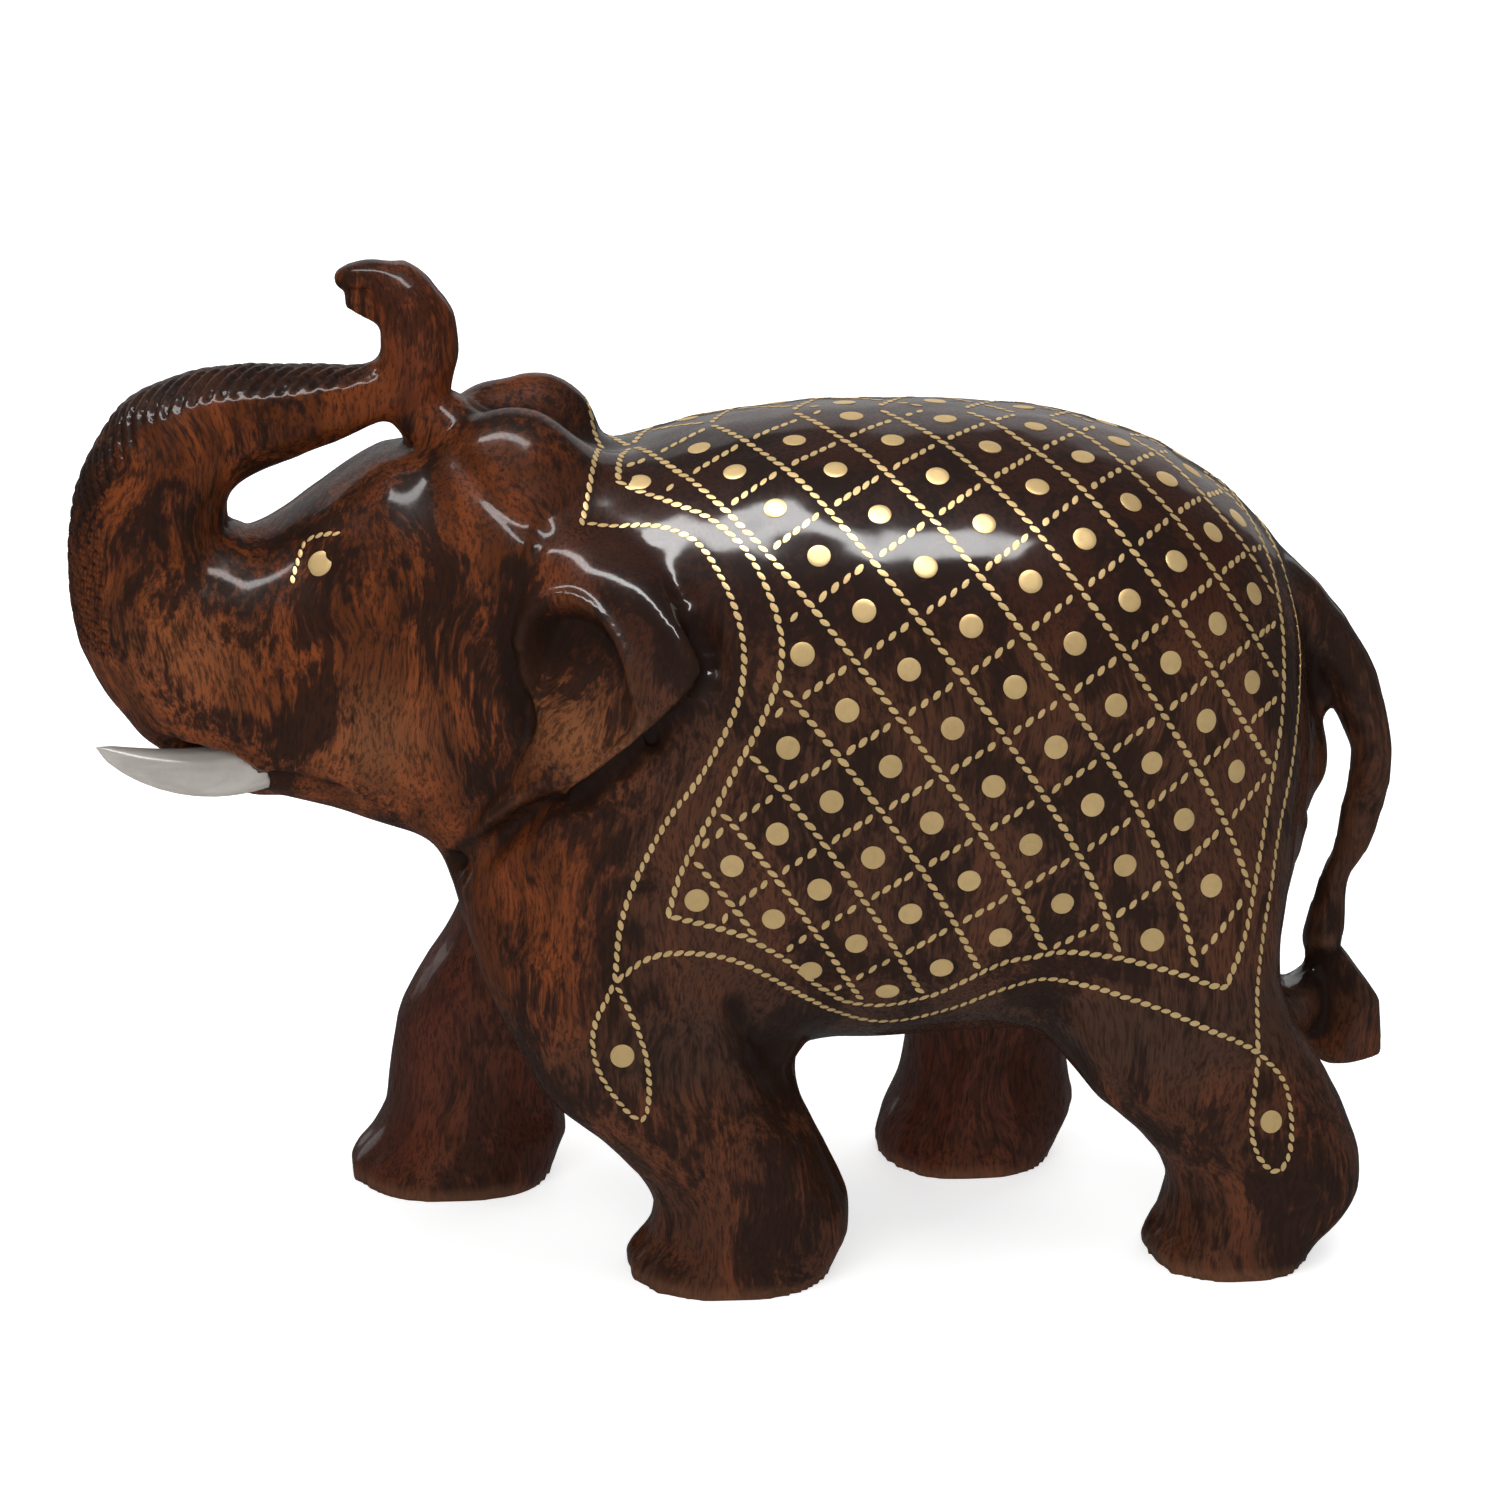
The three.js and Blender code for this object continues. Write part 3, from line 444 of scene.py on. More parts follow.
def carve_toes(carving):
    """Shallow grooves between the toes, and soles with a crisp edge."""
    x, y, z = carving.co.T
    total = np.zeros(len(x))
    for toe_x, toe_y in TOES.values():
        near = bump(np.hypot(x - toe_x + 1, y - toe_y), 16) * (np.abs(y - toe_y) < 15)
        ahead = ramp(0.1, 0.6, -carving.normal[:, 0]) * ramp(11, 4, z)
        groove = bump((y - toe_y + TOE_PITCH / 2 + 40 * TOE_PITCH) % TOE_PITCH - TOE_PITCH / 2, 1.1)
        total += near * ahead * (0.15 - TOE_GROOVE * groove)
    upright = ramp(0.9, 0.5, np.abs(carving.normal[:, 2]))
    total += SOLE_FLARE * ramp(5.5, 1.5, z) * upright
    carving.push(total)


TUFT_FACES = [  # outward direction and distance from the middle of the tuft
    ((1, -0.3, 0.05), 4.9), ((1, 0.3, 0.05), 4.9), ((-0.4, -0.9, 0.1), 4.4), ((-0.4, 0.9, 0.1), 4.4),
    ((0.1, 0, -1), 7.2), ((0.8, 0, 0.62), 5.6), ((0.45, -0.85, -0.25), 4.6),
]
TUFT_MIDDLE = (97.2, 0, 28.6)
TAIL_OUT = 1.2  # mm that the tail stands further out than in the plain body
TRUNK_END_BACK = 1.2  # mm that the end of the trunk stands further back


def settle_form(carving):
    """Small moves of whole stretches of the head, the trunk, the rump and the tail."""
    x, _, z = carving.co.T
    tail = ramp(89.5, 91, x) * ramp(50, 58, z) * ramp(84, 72, z)
    end = ramp(132, 139, z) * (x < -40)
    carving.co[:, 0] += TAIL_OUT * tail + TRUNK_END_BACK * end
    carving.store()
    x, _, z = carving.co.T
    back, _, up = carving.normal.T
    over_loop = ramp(-82, -76, x) * ramp(-47, -53, x)
    forehead = 1.9 * ramp(0.1, 0.6, up) * over_loop * ramp(127, 122, z) * (z > 92)
    under_trunk = -0.9 * ramp(-0.2, -0.6, up) * over_loop * ramp(112, 116, z)
    on_trunk = ramp(128, 132, z) * ramp(-51, -56, x)
    over_trunk = 0.9 * ramp(0.3, 0.7, up) * on_trunk
    chin = -0.9 * dab(x, z, "chin", 9)
    rump = 0.6 * dab(x, z, "upper_rump", 9)
    tail_root = -0.9 * bump(z - 93, 12) * ramp(84, 90, x) * ramp(0.2, 0.7, back)
    tail_foot = -3.2 * ramp(0.1, 0.6, up) * dab(x, z, "tail_foot", 3.6)
    thicker_tail = 0.55 * (x > 91) * ramp(52, 60, z) * ramp(92, 84, z)
    tail = thicker_tail + tail_root + tail_foot
    carving.push(carving.spread(forehead + under_trunk + over_trunk + chin + rump + tail, 4))


def carve_tuft(carving):
    """The tuft of the tail, left as flat cuts of the knife."""
    away = carving.co - np.array(TUFT_MIDDLE)
    near = (np.linalg.norm(away, axis=1) < 14) & (carving.co[:, 0] > 89)
    for direction, reach in TUFT_FACES:
        d = np.array(direction) / np.linalg.norm(direction)
        over = np.maximum(away @ d - reach, 0) * near
        carving.co -= 0.9 * over[:, None] * d
        away = carving.co - np.array(TUFT_MIDDLE)
    carving.store()


def subdivide_where(piece, wanted):
    """Splits the faces whose middles, in millimetres, are wanted."""
    middles = np.empty(len(piece.data.polygons) * 3)
    piece.data.polygons.foreach_get("center", middles)
    chosen = wanted(middles.reshape(-1, 3) / MM)
    only(piece)
    bpy.ops.object.mode_set(mode="EDIT")
    bpy.ops.mesh.select_mode(type="FACE")
    bpy.ops.mesh.select_all(action="DESELECT")
    bpy.ops.object.mode_set(mode="OBJECT")
    piece.data.polygons.foreach_set("select", chosen)
    bpy.ops.object.mode_set(mode="EDIT")
    bpy.ops.mesh.subdivide(number_cuts=1, smoothness=0)
    bpy.ops.object.mode_set(mode="OBJECT")


def fine_places(middles):
    """The ears and the top and front of the trunk, where the carving is finest."""
    x, y, z = middles.T
    ear = (np.abs(y) > 16) & (x > -47) & (x < -5) & (z > 62) & (z < 121)
    crest = (z > 112) & (x < -51) & (np.hypot(x - TRUNK_LOOP[0], z - TRUNK_LOOP[1]) > 13)
    front = (x < -80) & (z > 96)
    return ear | crest | front


SAWN_HEIGHT = 0.9  # mm


def flatten_soles(carving):
    """The soles are sawn flat."""
    low = carving.co[:, 2] < SAWN_HEIGHT
    carving.co[low, 2] = 0
    carving.store()


def mark(piece, name, values):
    """Keeps a number for each vertex, which the materials read."""
    layer = piece.data.attributes.new(name, "FLOAT", "POINT")
    layer.data.foreach_set("value", values.astype(np.float32))


def mark_shade_wear_and_tone(carving, notched):
    """Painted shade in the creases, the trunk's notches and round the ear, where edges are rubbed, and how dark
    each region is.
    """
    x, y, z = carving.co.T
    # The crease mark is painted shade: it darkens hollows, the trunk's notches, the ground under the ear's
    # arch, along its root and under its lobe.
    hollow = carving.hollow()
    close = carving.spread(hollow, 2)
    broad = carving.spread(hollow, 30)
    from_root, _ = off_route(x, z, curve(EAR_ROOT, 4))
    from_lobe, _ = off_route(x, z, curve(LOBE_EDGE, 4))
    under_arch = 1.3 * bump(np.hypot((x + 27.5) / 1.3, z - 103), 4.6)
    by_ear = under_arch + bump(from_root, 1.9) * bump(z - 91, 12) + bump(from_lobe, 1.2)
    sunk = ramp(0.03, 0.2, close) + 0.9 * ramp(0.01, 0.05, broad)
    crease = sunk + 0.75 * notched + by_ear * (np.abs(y) > 14)
    mark(carving.piece, "crease", np.clip(crease, 0, 1))
    mark(carving.piece, "rubbed", ramp(0.05, 0.3, -close))
    cloth = ramp(-34, -14, x) * ramp(28, 44, z)
    legs = ramp(50, 34, z)
    mark(carving.piece, "dark_region", np.clip(0.8 * cloth + 0.6 * legs, 0, 1))
    mark(carving.piece, "back_region", ramp(96, 110, z) * ramp(-34, -16, x))
    bowl = dab(x, z, "ear_bowl", 7) * (np.abs(y) > 16)
    face = 0.7 * dab(x, z, "jaw", 9) + 0.6 * dab(x, z, "trunk_base", 9)
    mark(carving.piece, "light_region", np.clip(bowl + face, 0, 1))
    far = ramp(5, 14, y) * ramp(58, 44, z)
    tip = ramp(-60, -50, x) * ramp(128, 134, z) * (x < -42)
    mark(carving.piece, "red_region", np.clip(far + 0.5 * tip, 0, 1))


def ease_joins(carving):
    """Evens out where the small masses meet the body."""
    x, y, z = carving.co.T
    near_side = ramp(8, -2, y)
    carving.relax(0.8 * near_side * dab(x, z, "nape", 11), 90)
    carving.relax(0.5 * dab(x, z, "forehead_edge", 7) + 0.4 * dab(x, z, "trunk_end", 9), 8)


KEPT_FACES = 0.64  # share of the carving's faces kept: flat stretches need fewer


def carved_body():
    """The whole carving: rough form, strokes of the knife, a light unevenness, notches, and marks for painted
    shade in its creases, for wear and for tone.
    """
    body = rough_carving()
    Carving(body).smooth(14)
    subdivide_where(body, fine_places)
    carving = Carving(body)
    carving.smooth(3)
    settle_form(carving)
    ease_joins(carving)
    for side in SIDES.values():
        carve_ear(carving, side)
        carve_head(carving, side)
        carve_legs(carving, side)
    x, y, z = carving.co.T
    carving.relax(0.8 * dab(x, z, "behind_ear", 4.4) * (np.abs(y) > 14), 30)
    carve_crown(carving)
    carve_toes(carving)
    carve_tuft(carving)
    carving.push(0.16 * ripples(carving.co, 17) + 0.05 * ripples(carving.co, 6))
    carving.co = np.stack([carving.spread(carving.co[:, k], 2) for k in range(3)], 1)
    carving.store()
    notched = carve_trunk(carving)
    flatten_soles(carving)
    # Marks painted shade in the creases, rubbed edges and the tone of each region.
    mark_shade_wear_and_tone(carving, notched)
    apply_modifier(body, "DECIMATE", ratio=KEPT_FACES)
    return body


# ---------------- where the inlay lies

MIDDLE_Z = 80  # places on the cloth are [x, angle up from the horizontal] about this line
FORM_SHIFT = -1.07  # the figure is centred over its box, which moves the places by this much
RIDGE = 88.8  # degrees, just short of the middle of the back

OUTER_BORDER = [
    [[-19, RIDGE], [-20.5, 80], [-22, 71], [-24, 60.5]],
    [
        [-24, 60.5], [-16, 59], [-11, 56], [-7, 51], [-4, 43], [-2, 35], [-1.5, 27], [-3, 18], [-8, 5],
        [-12.5, -4], [-17, -16], [-20, -27], [-21, -36],
    ],
    [
        [-21, -36], [-16, -33], [-9, -32], [-3, -34], [4, -40], [10, -47], [17, -54], [24, -55], [31, -51],
        [38, -46], [46, -42], [54, -41], [62, -42], [70, -45], [77, -49],
    ],
    [
        [77, -49], [77.5, -41], [80, -30], [82.5, -18], [84, -6], [85, 8], [86, 24], [86.5, 42], [86, 60],
        [84, 76], [82, RIDGE],
    ],
]
INNER_BORDER = [
    [[-15, RIDGE], [-17, 80], [-18, 71]],
    [
        [-18, 71], [-14, 67], [-10, 62], [-5, 56.5], [-1, 50], [2, 42], [4, 33], [3.7, 25], [1, 16], [-3, 6],
        [-7, -5], [-11, -16], [-13, -25],
    ],
    [
        [-13, -25], [-7, -27], [-1, -30], [5, -35.5], [10, -42], [15, -47.5], [21, -49], [27, -46.5], [32, -42],
        [38, -38], [46, -35.5], [54, -35], [63, -37], [72, -41],
    ],
    [
        [72, -41], [75, -35], [77.5, -24], [79.5, -12], [81, 1], [82, 14], [82.5, 30], [82.5, 46], [82, 62],
        [80, 77], [78, RIDGE],
    ],
]
FRONT_PENDANT = [
    [-21, -36.6], [-22.4, -38.8], [-23.9, -41.4], [-24.4, -44.2], [-23.6, -47], [-21.8, -49.2], [-19, -51.2],
    [-16.8, -51.4], [-16, -49], [-16.3, -45.6], [-17.6, -42.2], [-19.4, -39],
]
REAR_PENDANT = [
    [77.3, -49.4], [76.4, -51.2], [75.9, -53.2], [76.3, -55], [77.8, -56.4], [80, -57], [81.7, -56.2],
    [82.3, -54.8], [81.7, -53], [80.1, -51.3], [78.4, -50],
]
PENDANT_DISCS = {"front": [-20, -45], "rear": [79, -53.8]}
EYE = [-63, 62.6]
BROW = [[-59.8, 67], [-62, 69], [-64, 70.2], [-65.2, 69.6], [-66, 66.4], [-66.8, 62.6], [-67.3, 59.4]]
HEM_SHIFT = {"from": -5, "over": 45, "shoulder": -12, "rump": -30, "x": 75}


def fitted(places, side):
    """Places on a side. Low on the right the design moves with the legs, which stand elsewhere there."""
    places = np.array(places, float)
    if side == "right":
        drop = np.clip((HEM_SHIFT["from"] - places[:, 1]) / HEM_SHIFT["over"], 0, 1)
        back = ramp(0, HEM_SHIFT["x"], places[:, 0])
        shoulder, rump = HEM_SHIFT["shoulder"], HEM_SHIFT["rump"]
        places[:, 0] += drop * (shoulder + back * (rump - shoulder))
    return places


def lattice(i, j):
    """A place on the diamond lattice: discs sit at whole numbers, wires between them."""
    i, j = np.broadcast_arrays(np.asarray(i, float), np.asarray(j, float))
    along = 32.4 + 9.5 * i + 6.35 * j - (0.077 * i**2 + 0.04 * i * j + 0.056 * i**3 + 0.031 * j**3)
    swing = 0.29 * i**2 - 0.12 * i * j - 0.2 * j**2 + 0.029 * i**3 - 0.026 * j**3
    return np.stack([along, 32.4 + 7.95 * i - 11.25 * j + swing], -1)


class Skin:
    """The finished skin of the carving, which the inlay is let into."""

    REACH = {"body": 75, "head": 42}  # mm from the middle line, clear of the ears and below the trunk
    HEAD_X = -50
    EAR_X = (-48, -6)
    EAR_Y = 12
    EAR_TOP = 111
    ROOM = {"below": 1.2, "top": -1.6}  # mm between the ear's edge and the nearest brass

    def __init__(self, piece):
        self.tree = BVHTree.FromObject(piece, bpy.context.evaluated_depsgraph_get())
        self.ear = np.vstack([curve(EAR_RIM, 6), curve(EAR_ROOT, 6)[::-1]])

    def at(self, place, side):
        """The point of the skin at a place, in metres, and the way out of it. None under the ear."""
        x = (place[0] + FORM_SHIFT) * MM
        turn = math.radians(place[1])
        out = Vector((0, SIDES[side] * math.cos(turn), math.sin(turn)))
        middle = Vector((x, 0, MIDDLE_Z * MM))
        reach = self.REACH["head" if place[0] < self.HEAD_X else "body"]
        point, normal, _, _ = self.tree.ray_cast(middle + out * reach * MM, -out)
        if point is None or self.under_ear(point):
            return None
        return point, normal

    def under_ear(self, point):
        x, y, z = (value / MM for value in point)
        if not self.EAR_X[0] < x < self.EAR_X[1] or abs(y) <= self.EAR_Y:
            return False
        room = self.ROOM["below"] if z < self.EAR_TOP else self.ROOM["top"]
        return off_outline(np.array([x]), np.array([z]), self.ear)[0] < room


def joined(runs, side):
    """A border's runs end to end, as fine places on a side."""
    return np.vstack([curve(fitted(run, side), 24) for run in runs])


def route_on_skin(skin, places, side):
    """The points and normals of the skin under a run of places, in stretches without gaps."""
    stretches = [[]]
    for place in places:
        found = skin.at(place, side)
        if found is None:
            if stretches[-1]:
                stretches.append([])
            continue
        stretches[-1].append(found)
    return [s for s in stretches if len(s) > 1]


# ---------------- brass

STRAND = {"pitch": 1.98, "length": 2.06, "width": 1.0, "lean": 21}  # mm and degrees, at gauge 1
STRAND_SIDES = 10
GAUGES = {"outer": 0.82, "inner": 0.88, "lattice": 0.92, "loop": 0.76, "brow": 0.72}
PROUD = 0.07  # how far the filed brass stands out of the wood, mm
SUNK = 0.35  # how far it goes into the wood, mm
DISC_DIAMETER = 3.55
EYE_DIAMETER = 3.9
DISC_SIDES = 28


def strand_pattern():
    """One filed strand of the twisted wire: a low oval, pointed at its ends."""
    bpy.ops.mesh.primitive_cylinder_add(vertices=STRAND_SIDES, radius=1, depth=1)
    strand = bpy.context.object
    bm = bmesh.new()
    bm.from_mesh(strand.data)
    for vertex in bm.verts:
        x, y, z = vertex.co
        top = z > 0
        vertex.co = (x * 0.5 * (1 if top else 0.9), y * 0.5 * (1 - 0.25 * x * x), 0.0 if top else -1)
    bmesh.ops.poke(bm, faces=[f for f in bm.faces if f.normal.z > 0.9])
    for vertex in bm.verts:
        if vertex.co.xy.length < 1e-6 and vertex.co.z > -0.5:
            vertex.co.z = 0.12
    bm.to_mesh(strand.data)
    bm.free()
    return strand


def disc_pattern(dimpled=False):
    """One brass disc of unit diameter with a softened rim. Its face is a little domed."""
    bpy.ops.mesh.primitive_cylinder_add(vertices=DISC_SIDES, radius=0.5, depth=1, location=(0, 0, -0.5))
    disc = bpy.context.object
    set_place(disc)
    bm = bmesh.new()
    bm.from_mesh(disc.data)
    top = [f for f in bm.faces if f.normal.z > 0.9]
    bmesh.ops.inset_region(bm, faces=top, thickness=0.025, depth=0.0)
    inner = [f for f in bm.faces if f.normal.z > 0.9 and len(f.verts) == DISC_SIDES]
    bmesh.ops.inset_region(bm, faces=inner, thickness=0.2, depth=0.0)
    inner = [f for f in bm.faces if f.normal.z > 0.9 and len(f.verts) == DISC_SIDES]
    bmesh.ops.poke(bm, faces=inner)
    for vertex in bm.verts:
        reach = vertex.co.xy.length
        if vertex.co.z > -0.01:
            rim_drop = 0.09 if reach > 0.49 else 0
            vertex.co.z = 0.1 * (1 - (reach / 0.5) ** 2) - rim_drop
            if dimpled and reach < 0.3:
                vertex.co.z -= 0.22 if reach < 0.05 else 0.1
    bm.to_mesh(disc.data)
    bm.free()
    return disc


class Brass:
    """Collects copies of a pattern into one piece."""

    def __init__(self, name):
        self.name = name
        self.points = []
        self.faces = []
        self.tarnish = []

    def add(self, pattern, matrix, tarnish):
        first = len(self.points)
        self.points += [matrix @ vertex.co for vertex in pattern.data.vertices]
        self.faces += [[first + v for v in face.vertices] for face in pattern.data.polygons]
        self.tarnish += [tarnish] * len(pattern.data.vertices)

    def piece(self):
        mesh = bpy.data.meshes.new(self.name)
        mesh.from_pydata(self.points, [], self.faces)
        piece = bpy.data.objects.new(self.name, mesh)
        bpy.context.scene.collection.objects.link(piece)
        mark(piece, "tarnish", np.array(self.tarnish))
        return piece


def seat(point, normal, along, length, width, depth):
    """The matrix that lays a pattern on the skin: its x along the wire and its z out of the wood."""
    z = normal.normalized()
    y = z.cross(along).normalized()
    x = y.cross(z)
    turn = Matrix((x, y, z)).transposed().to_4x4()
    size = Matrix.Diagonal((length * MM, width * MM, depth * MM, 1))
    return Matrix.Translation(point + z * PROUD * MM) @ turn @ size


def lay_wire(brass, pattern, stretches, gauge):
    """A chain of leaning strands along each stretch of skin. A gauge under 1 makes it finer."""
    for stretch in stretches:
        points = np.array([p for p, _ in stretch])
        reached = np.concatenate([[0], np.cumsum(np.linalg.norm(np.diff(points, axis=0), axis=1))])
        count = int(reached[-1] / (STRAND["pitch"] * gauge * MM))
        for k in range(count):
            at = (k + 0.5) * reached[-1] / count
            i = min(np.searchsorted(reached, at), len(stretch) - 1)
            share = (at - reached[i - 1]) / max(reached[i] - reached[i - 1], 1e-9)
            point = stretch[i - 1][0].lerp(stretch[i][0], share)
            normal = stretch[i - 1][1].lerp(stretch[i][1], share).normalized()
            ahead = stretch[min(i + 1, len(stretch) - 1)][0] - stretch[max(i - 2, 0)][0]
            lean = math.radians(STRAND["lean"] + random.uniform(-4, 4))
            along = Matrix.Rotation(lean, 3, normal) @ ahead
            length = STRAND["length"] * gauge * random.uniform(0.88, 1.1)
            width = STRAND["width"] * gauge * random.uniform(0.85, 1.12)
            matrix = seat(point, normal, along, length, width, SUNK)
            brass.add(pattern, matrix, random.uniform(0, 1))


def lay_disc(brass, pattern, found, diameter):
    point, normal = found
    tilt = Vector(random.normal(size=3) * 0.012)
    along = Vector((1, 0, 0)) + Vector(random.normal(size=3) * 0.3)
    size = diameter * random.uniform(0.97, 1.03)
    matrix = seat(point, (normal + tilt).normalized(), along, size, size, SUNK)
    brass.add(pattern, matrix, random.uniform(0, 1))


LATTICE_REACH = 8  # lattice steps to either side of the middle
WIRE_STEP = 0.06  # of a lattice step
CROSS_GAP = 0.1  # of a lattice step, left at each end of a short cross wire
EDGE = 0.8  # mm and degrees that the lattice keeps from the inner border


def inside_border(places, side):
    ring = joined(INNER_BORDER, side)
    over_the_top = [[ring[-1][0], 100], [ring[0][0], 100]]
    distance = off_outline(places[:, 0], places[:, 1], np.vstack([ring, over_the_top]))
    return distance < -EDGE


def lattice_runs(places, side):
    """The stretches of a run of lattice places that lie on the cloth."""
    kept = inside_border(places, side) & (places[:, 1] < RIDGE)
    runs = []
    for place, keep, before in zip(places, kept, np.concatenate([[False], kept])):
        if keep and not before:
            runs.append([])
        if keep:
            runs[-1].append(place)
    return [np.array(run) for run in runs if len(run) > 3]


def long_wires(side):
    steps = np.arange(-LATTICE_REACH, LATTICE_REACH, WIRE_STEP)
    halves = np.arange(-LATTICE_REACH, LATTICE_REACH) + 0.5
    return [run for i in halves for run in lattice_runs(lattice(i, steps), side)]


def cross_wires(side):
    runs = []
    halves = np.arange(-LATTICE_REACH, LATTICE_REACH) + 0.5
    for j in halves:
        for i in halves:
            steps = np.arange(i + CROSS_GAP, i + 1 - CROSS_GAP, WIRE_STEP)
            runs += lattice_runs(lattice(steps, j), side)
    return runs


def wire_piece(skin, name, pattern, runs, side, use):
    brass = Brass(name)
    for places in runs:
        lay_wire(brass, pattern, route_on_skin(skin, places, side), GAUGES[use])
    return brass.piece()


HAMMERED = (-2, 0)  # the lattice place of the one disc that was punched in its middle


def disc_piece(skin, name, side):
    plain, hammered = disc_pattern(), disc_pattern(dimpled=True)
    brass = Brass(name)
    numbers = np.arange(-LATTICE_REACH, LATTICE_REACH + 1)
    for i in numbers:
        for j in numbers:
            place = lattice(i, j)
            if place[1] > RIDGE - 3 or not inside_border(place[None], side)[0]:
                continue
            found = skin.at(place, side)
            if found:
                lay_disc(brass, hammered if (i, j) == HAMMERED else plain, found, DISC_DIAMETER)
    bpy.data.objects.remove(plain)
    bpy.data.objects.remove(hammered)
    return brass.piece()


def single_disc(skin, name, place, diameter, side):
    pattern = disc_pattern()
    brass = Brass(name)
    lay_disc(brass, pattern, skin.at(fitted([place], side)[0], side), diameter)
    bpy.data.objects.remove(pattern)
    return brass.piece()


def inlay(skin, side, material):
    """All the brass of one side, piece by piece."""
    strand = strand_pattern()
    loops = {"front": FRONT_PENDANT, "rear": REAR_PENDANT}
    wires = [f"lattice_wire_{n}_{side}" for n in range(1, 12)]
    discs = [f"cloth_disc_{n}_{side}" for n in range(1, 10)]
    made = []

    def wire(name, runs, use, replaced):
        made.append((wire_piece(skin, f"{name}_{side}", strand, runs, side, use), replaced))

    wire("outer_wire", [joined(OUTER_BORDER, side)], "outer", [f"outer_border_{side}"])
    wire("inner_wire", [joined(INNER_BORDER, side)], "inner", [f"inner_border_{side}"])
    wire("brow", [curve(BROW, 10)], "brow", [f"brow_wire_{side}"])
    made.append((single_disc(skin, f"eye_{side}", EYE, EYE_DIAMETER, side), [f"eye_disc_{side}"]))
    wire("trellis", long_wires(side), "lattice", wires)
    wire("cross_wires", cross_wires(side), "lattice", [])
    made.append((disc_piece(skin, f"discs_{side}", side), discs))
    for end, loop in loops.items():
        wire(f"{end}_loop", [curve(fitted(loop, side), 10, closed=True)], "loop", [f"{end}_pendant_{side}"])
        disc = single_disc(skin, f"{end}_loop_disc_{side}", PENDANT_DISCS[end], DISC_DIAMETER, side)
        made.append((disc, [f"{end}_pendant_disc_{side}"]))
    bpy.data.objects.remove(strand)
    for piece, replaced in made:
        finish_piece(piece, material, replaced)
        bpy.ops.object.shade_smooth_by_angle(angle=math.radians(35))


# ---------------- tusks


TUSK_DRAW_OUT = 0.4  # mm that the tip is drawn out to a point
TUSK_LOW = 2.4  # mm that the root end sits lower than the straight tusk's, so that the tip curves up


def ivory_tusk(side, material):
    tusk = copy_of_node(f"tusk_{side}", f"ivory_tusk_{side}")
    apply_modifier(tusk, "REMESH", mode="VOXEL", voxel_size=0.35 * MM)
    apply_modifier(tusk, "SMOOTH", factor=0.5, iterations=6)
    lowest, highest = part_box(f"tusk_{side}")
    for vertex in tusk.data.vertices:
        share = (highest.x - vertex.co.x) / (highest.x - lowest.x)
        vertex.co.x -= TUSK_DRAW_OUT * MM * share**2
        vertex.co.z -= TUSK_LOW * MM * (1 - share**2)
    finish_piece(tusk, material, [f"tusk_{side}"])


# ---------------- materials


class Nodes:
    """Adds nodes to a tree with short calls."""

    def __init__(self, tree):
        self.tree = tree

    def add(self, kind, values=None, **settings):
        node = self.tree.nodes.new(kind)
        for key, value in settings.items():
            setattr(node, key, value)
        for key, value in (values or {}).items():
            if isinstance(value, bpy.types.NodeSocket):
                self.tree.links.new(value, node.inputs[key])
            else:
                node.inputs[key].default_value = value
        return node

    def maths(self, operation, a, b=0.0, c=None, clamp=False):
        values = {0: a, 1: b}
        if c is not None:
            values[2] = c
        return self.add("ShaderNodeMath", values, operation=operation, use_clamp=clamp).outputs[0]

    def mix(self, share, a, b, blend="MIX"):
        node = self.add("ShaderNodeMix", {"Factor": share}, data_type="RGBA", blend_type=blend)
        for socket, value in ((node.inputs["A"], a), (node.inputs["B"], b)):
            self.set(socket, value)
        return next(o for o in node.outputs if o.type == "RGBA")

    def set(self, socket, value):
        if isinstance(value, bpy.types.NodeSocket):
            self.tree.links.new(value, socket)
        else:
            socket.default_value = value

    def noise(self, vector, scale, detail=3.0, roughness=0.5, distortion=0.0):
        values = {"Vector": vector, "Scale": scale, "Detail": detail}
        values |= {"Roughness": roughness, "Distortion": distortion}
        return self.add("ShaderNodeTexNoise", values).outputs[0]

    def between(self, value, low, high):
        values = {"Value": value, "From Min": low, "From Max": high}
        return self.add("ShaderNodeMapRange", values, interpolation_type="SMOOTHSTEP").outputs[0]


def patches_group():
    """Uneven patches with streaked edges: a mask from 0 to 1, used by every finish."""
    group = bpy.data.node_groups.new("uneven_patches", "ShaderNodeTree")
    face = group.interface
    face.new_socket("Vector", in_out="INPUT", socket_type="NodeSocketVector")
    for name, value in (("Scale", 70.0), ("Streaks", 0.3), ("Low", 0.42), ("High", 0.6)):
        socket = face.new_socket(name, in_out="INPUT", socket_type="NodeSocketFloat")
        socket.default_value = value
    face.new_socket("Mask", in_out="OUTPUT", socket_type="NodeSocketFloat")
    n = Nodes(group)
    into = n.add("NodeGroupInput").outputs
    broad = n.noise(into["Vector"], into["Scale"], 4.0, 0.6, 0.7)
    fine_scale = n.maths("MULTIPLY", into["Scale"], 14.0)
    along = n.add("ShaderNodeMapping", {"Vector": into["Vector"], "Scale": (1, 1, 0.28)}).outputs[0]
    streaks = n.noise(along, fine_scale, 3.0, 0.65)
    offset = n.maths("MULTIPLY", n.maths("SUBTRACT", streaks, 0.5), into["Streaks"])
    mask = n.between(n.maths("ADD", broad, offset), into["Low"], into["High"])
    n.add("NodeGroupOutput", {"Mask": mask})
    return group


PATCHES = patches_group()


def patches(n, vector, scale, streaks, low, high):
    values = {"Vector": vector, "Scale": scale, "Streaks": streaks, "Low": low, "High": high}
    node = n.tree.nodes.new("ShaderNodeGroup")
    node.node_tree = PATCHES
    for key, value in values.items():
        n.set(node.inputs[key], value)
    return node.outputs["Mask"]


def new_material(name):
    material = bpy.data.materials.new(name)
    material.use_nodes = True
    shader = next(x for x in material.node_tree.nodes if x.type == "BSDF_PRINCIPLED")
    return material, Nodes(material.node_tree), shader


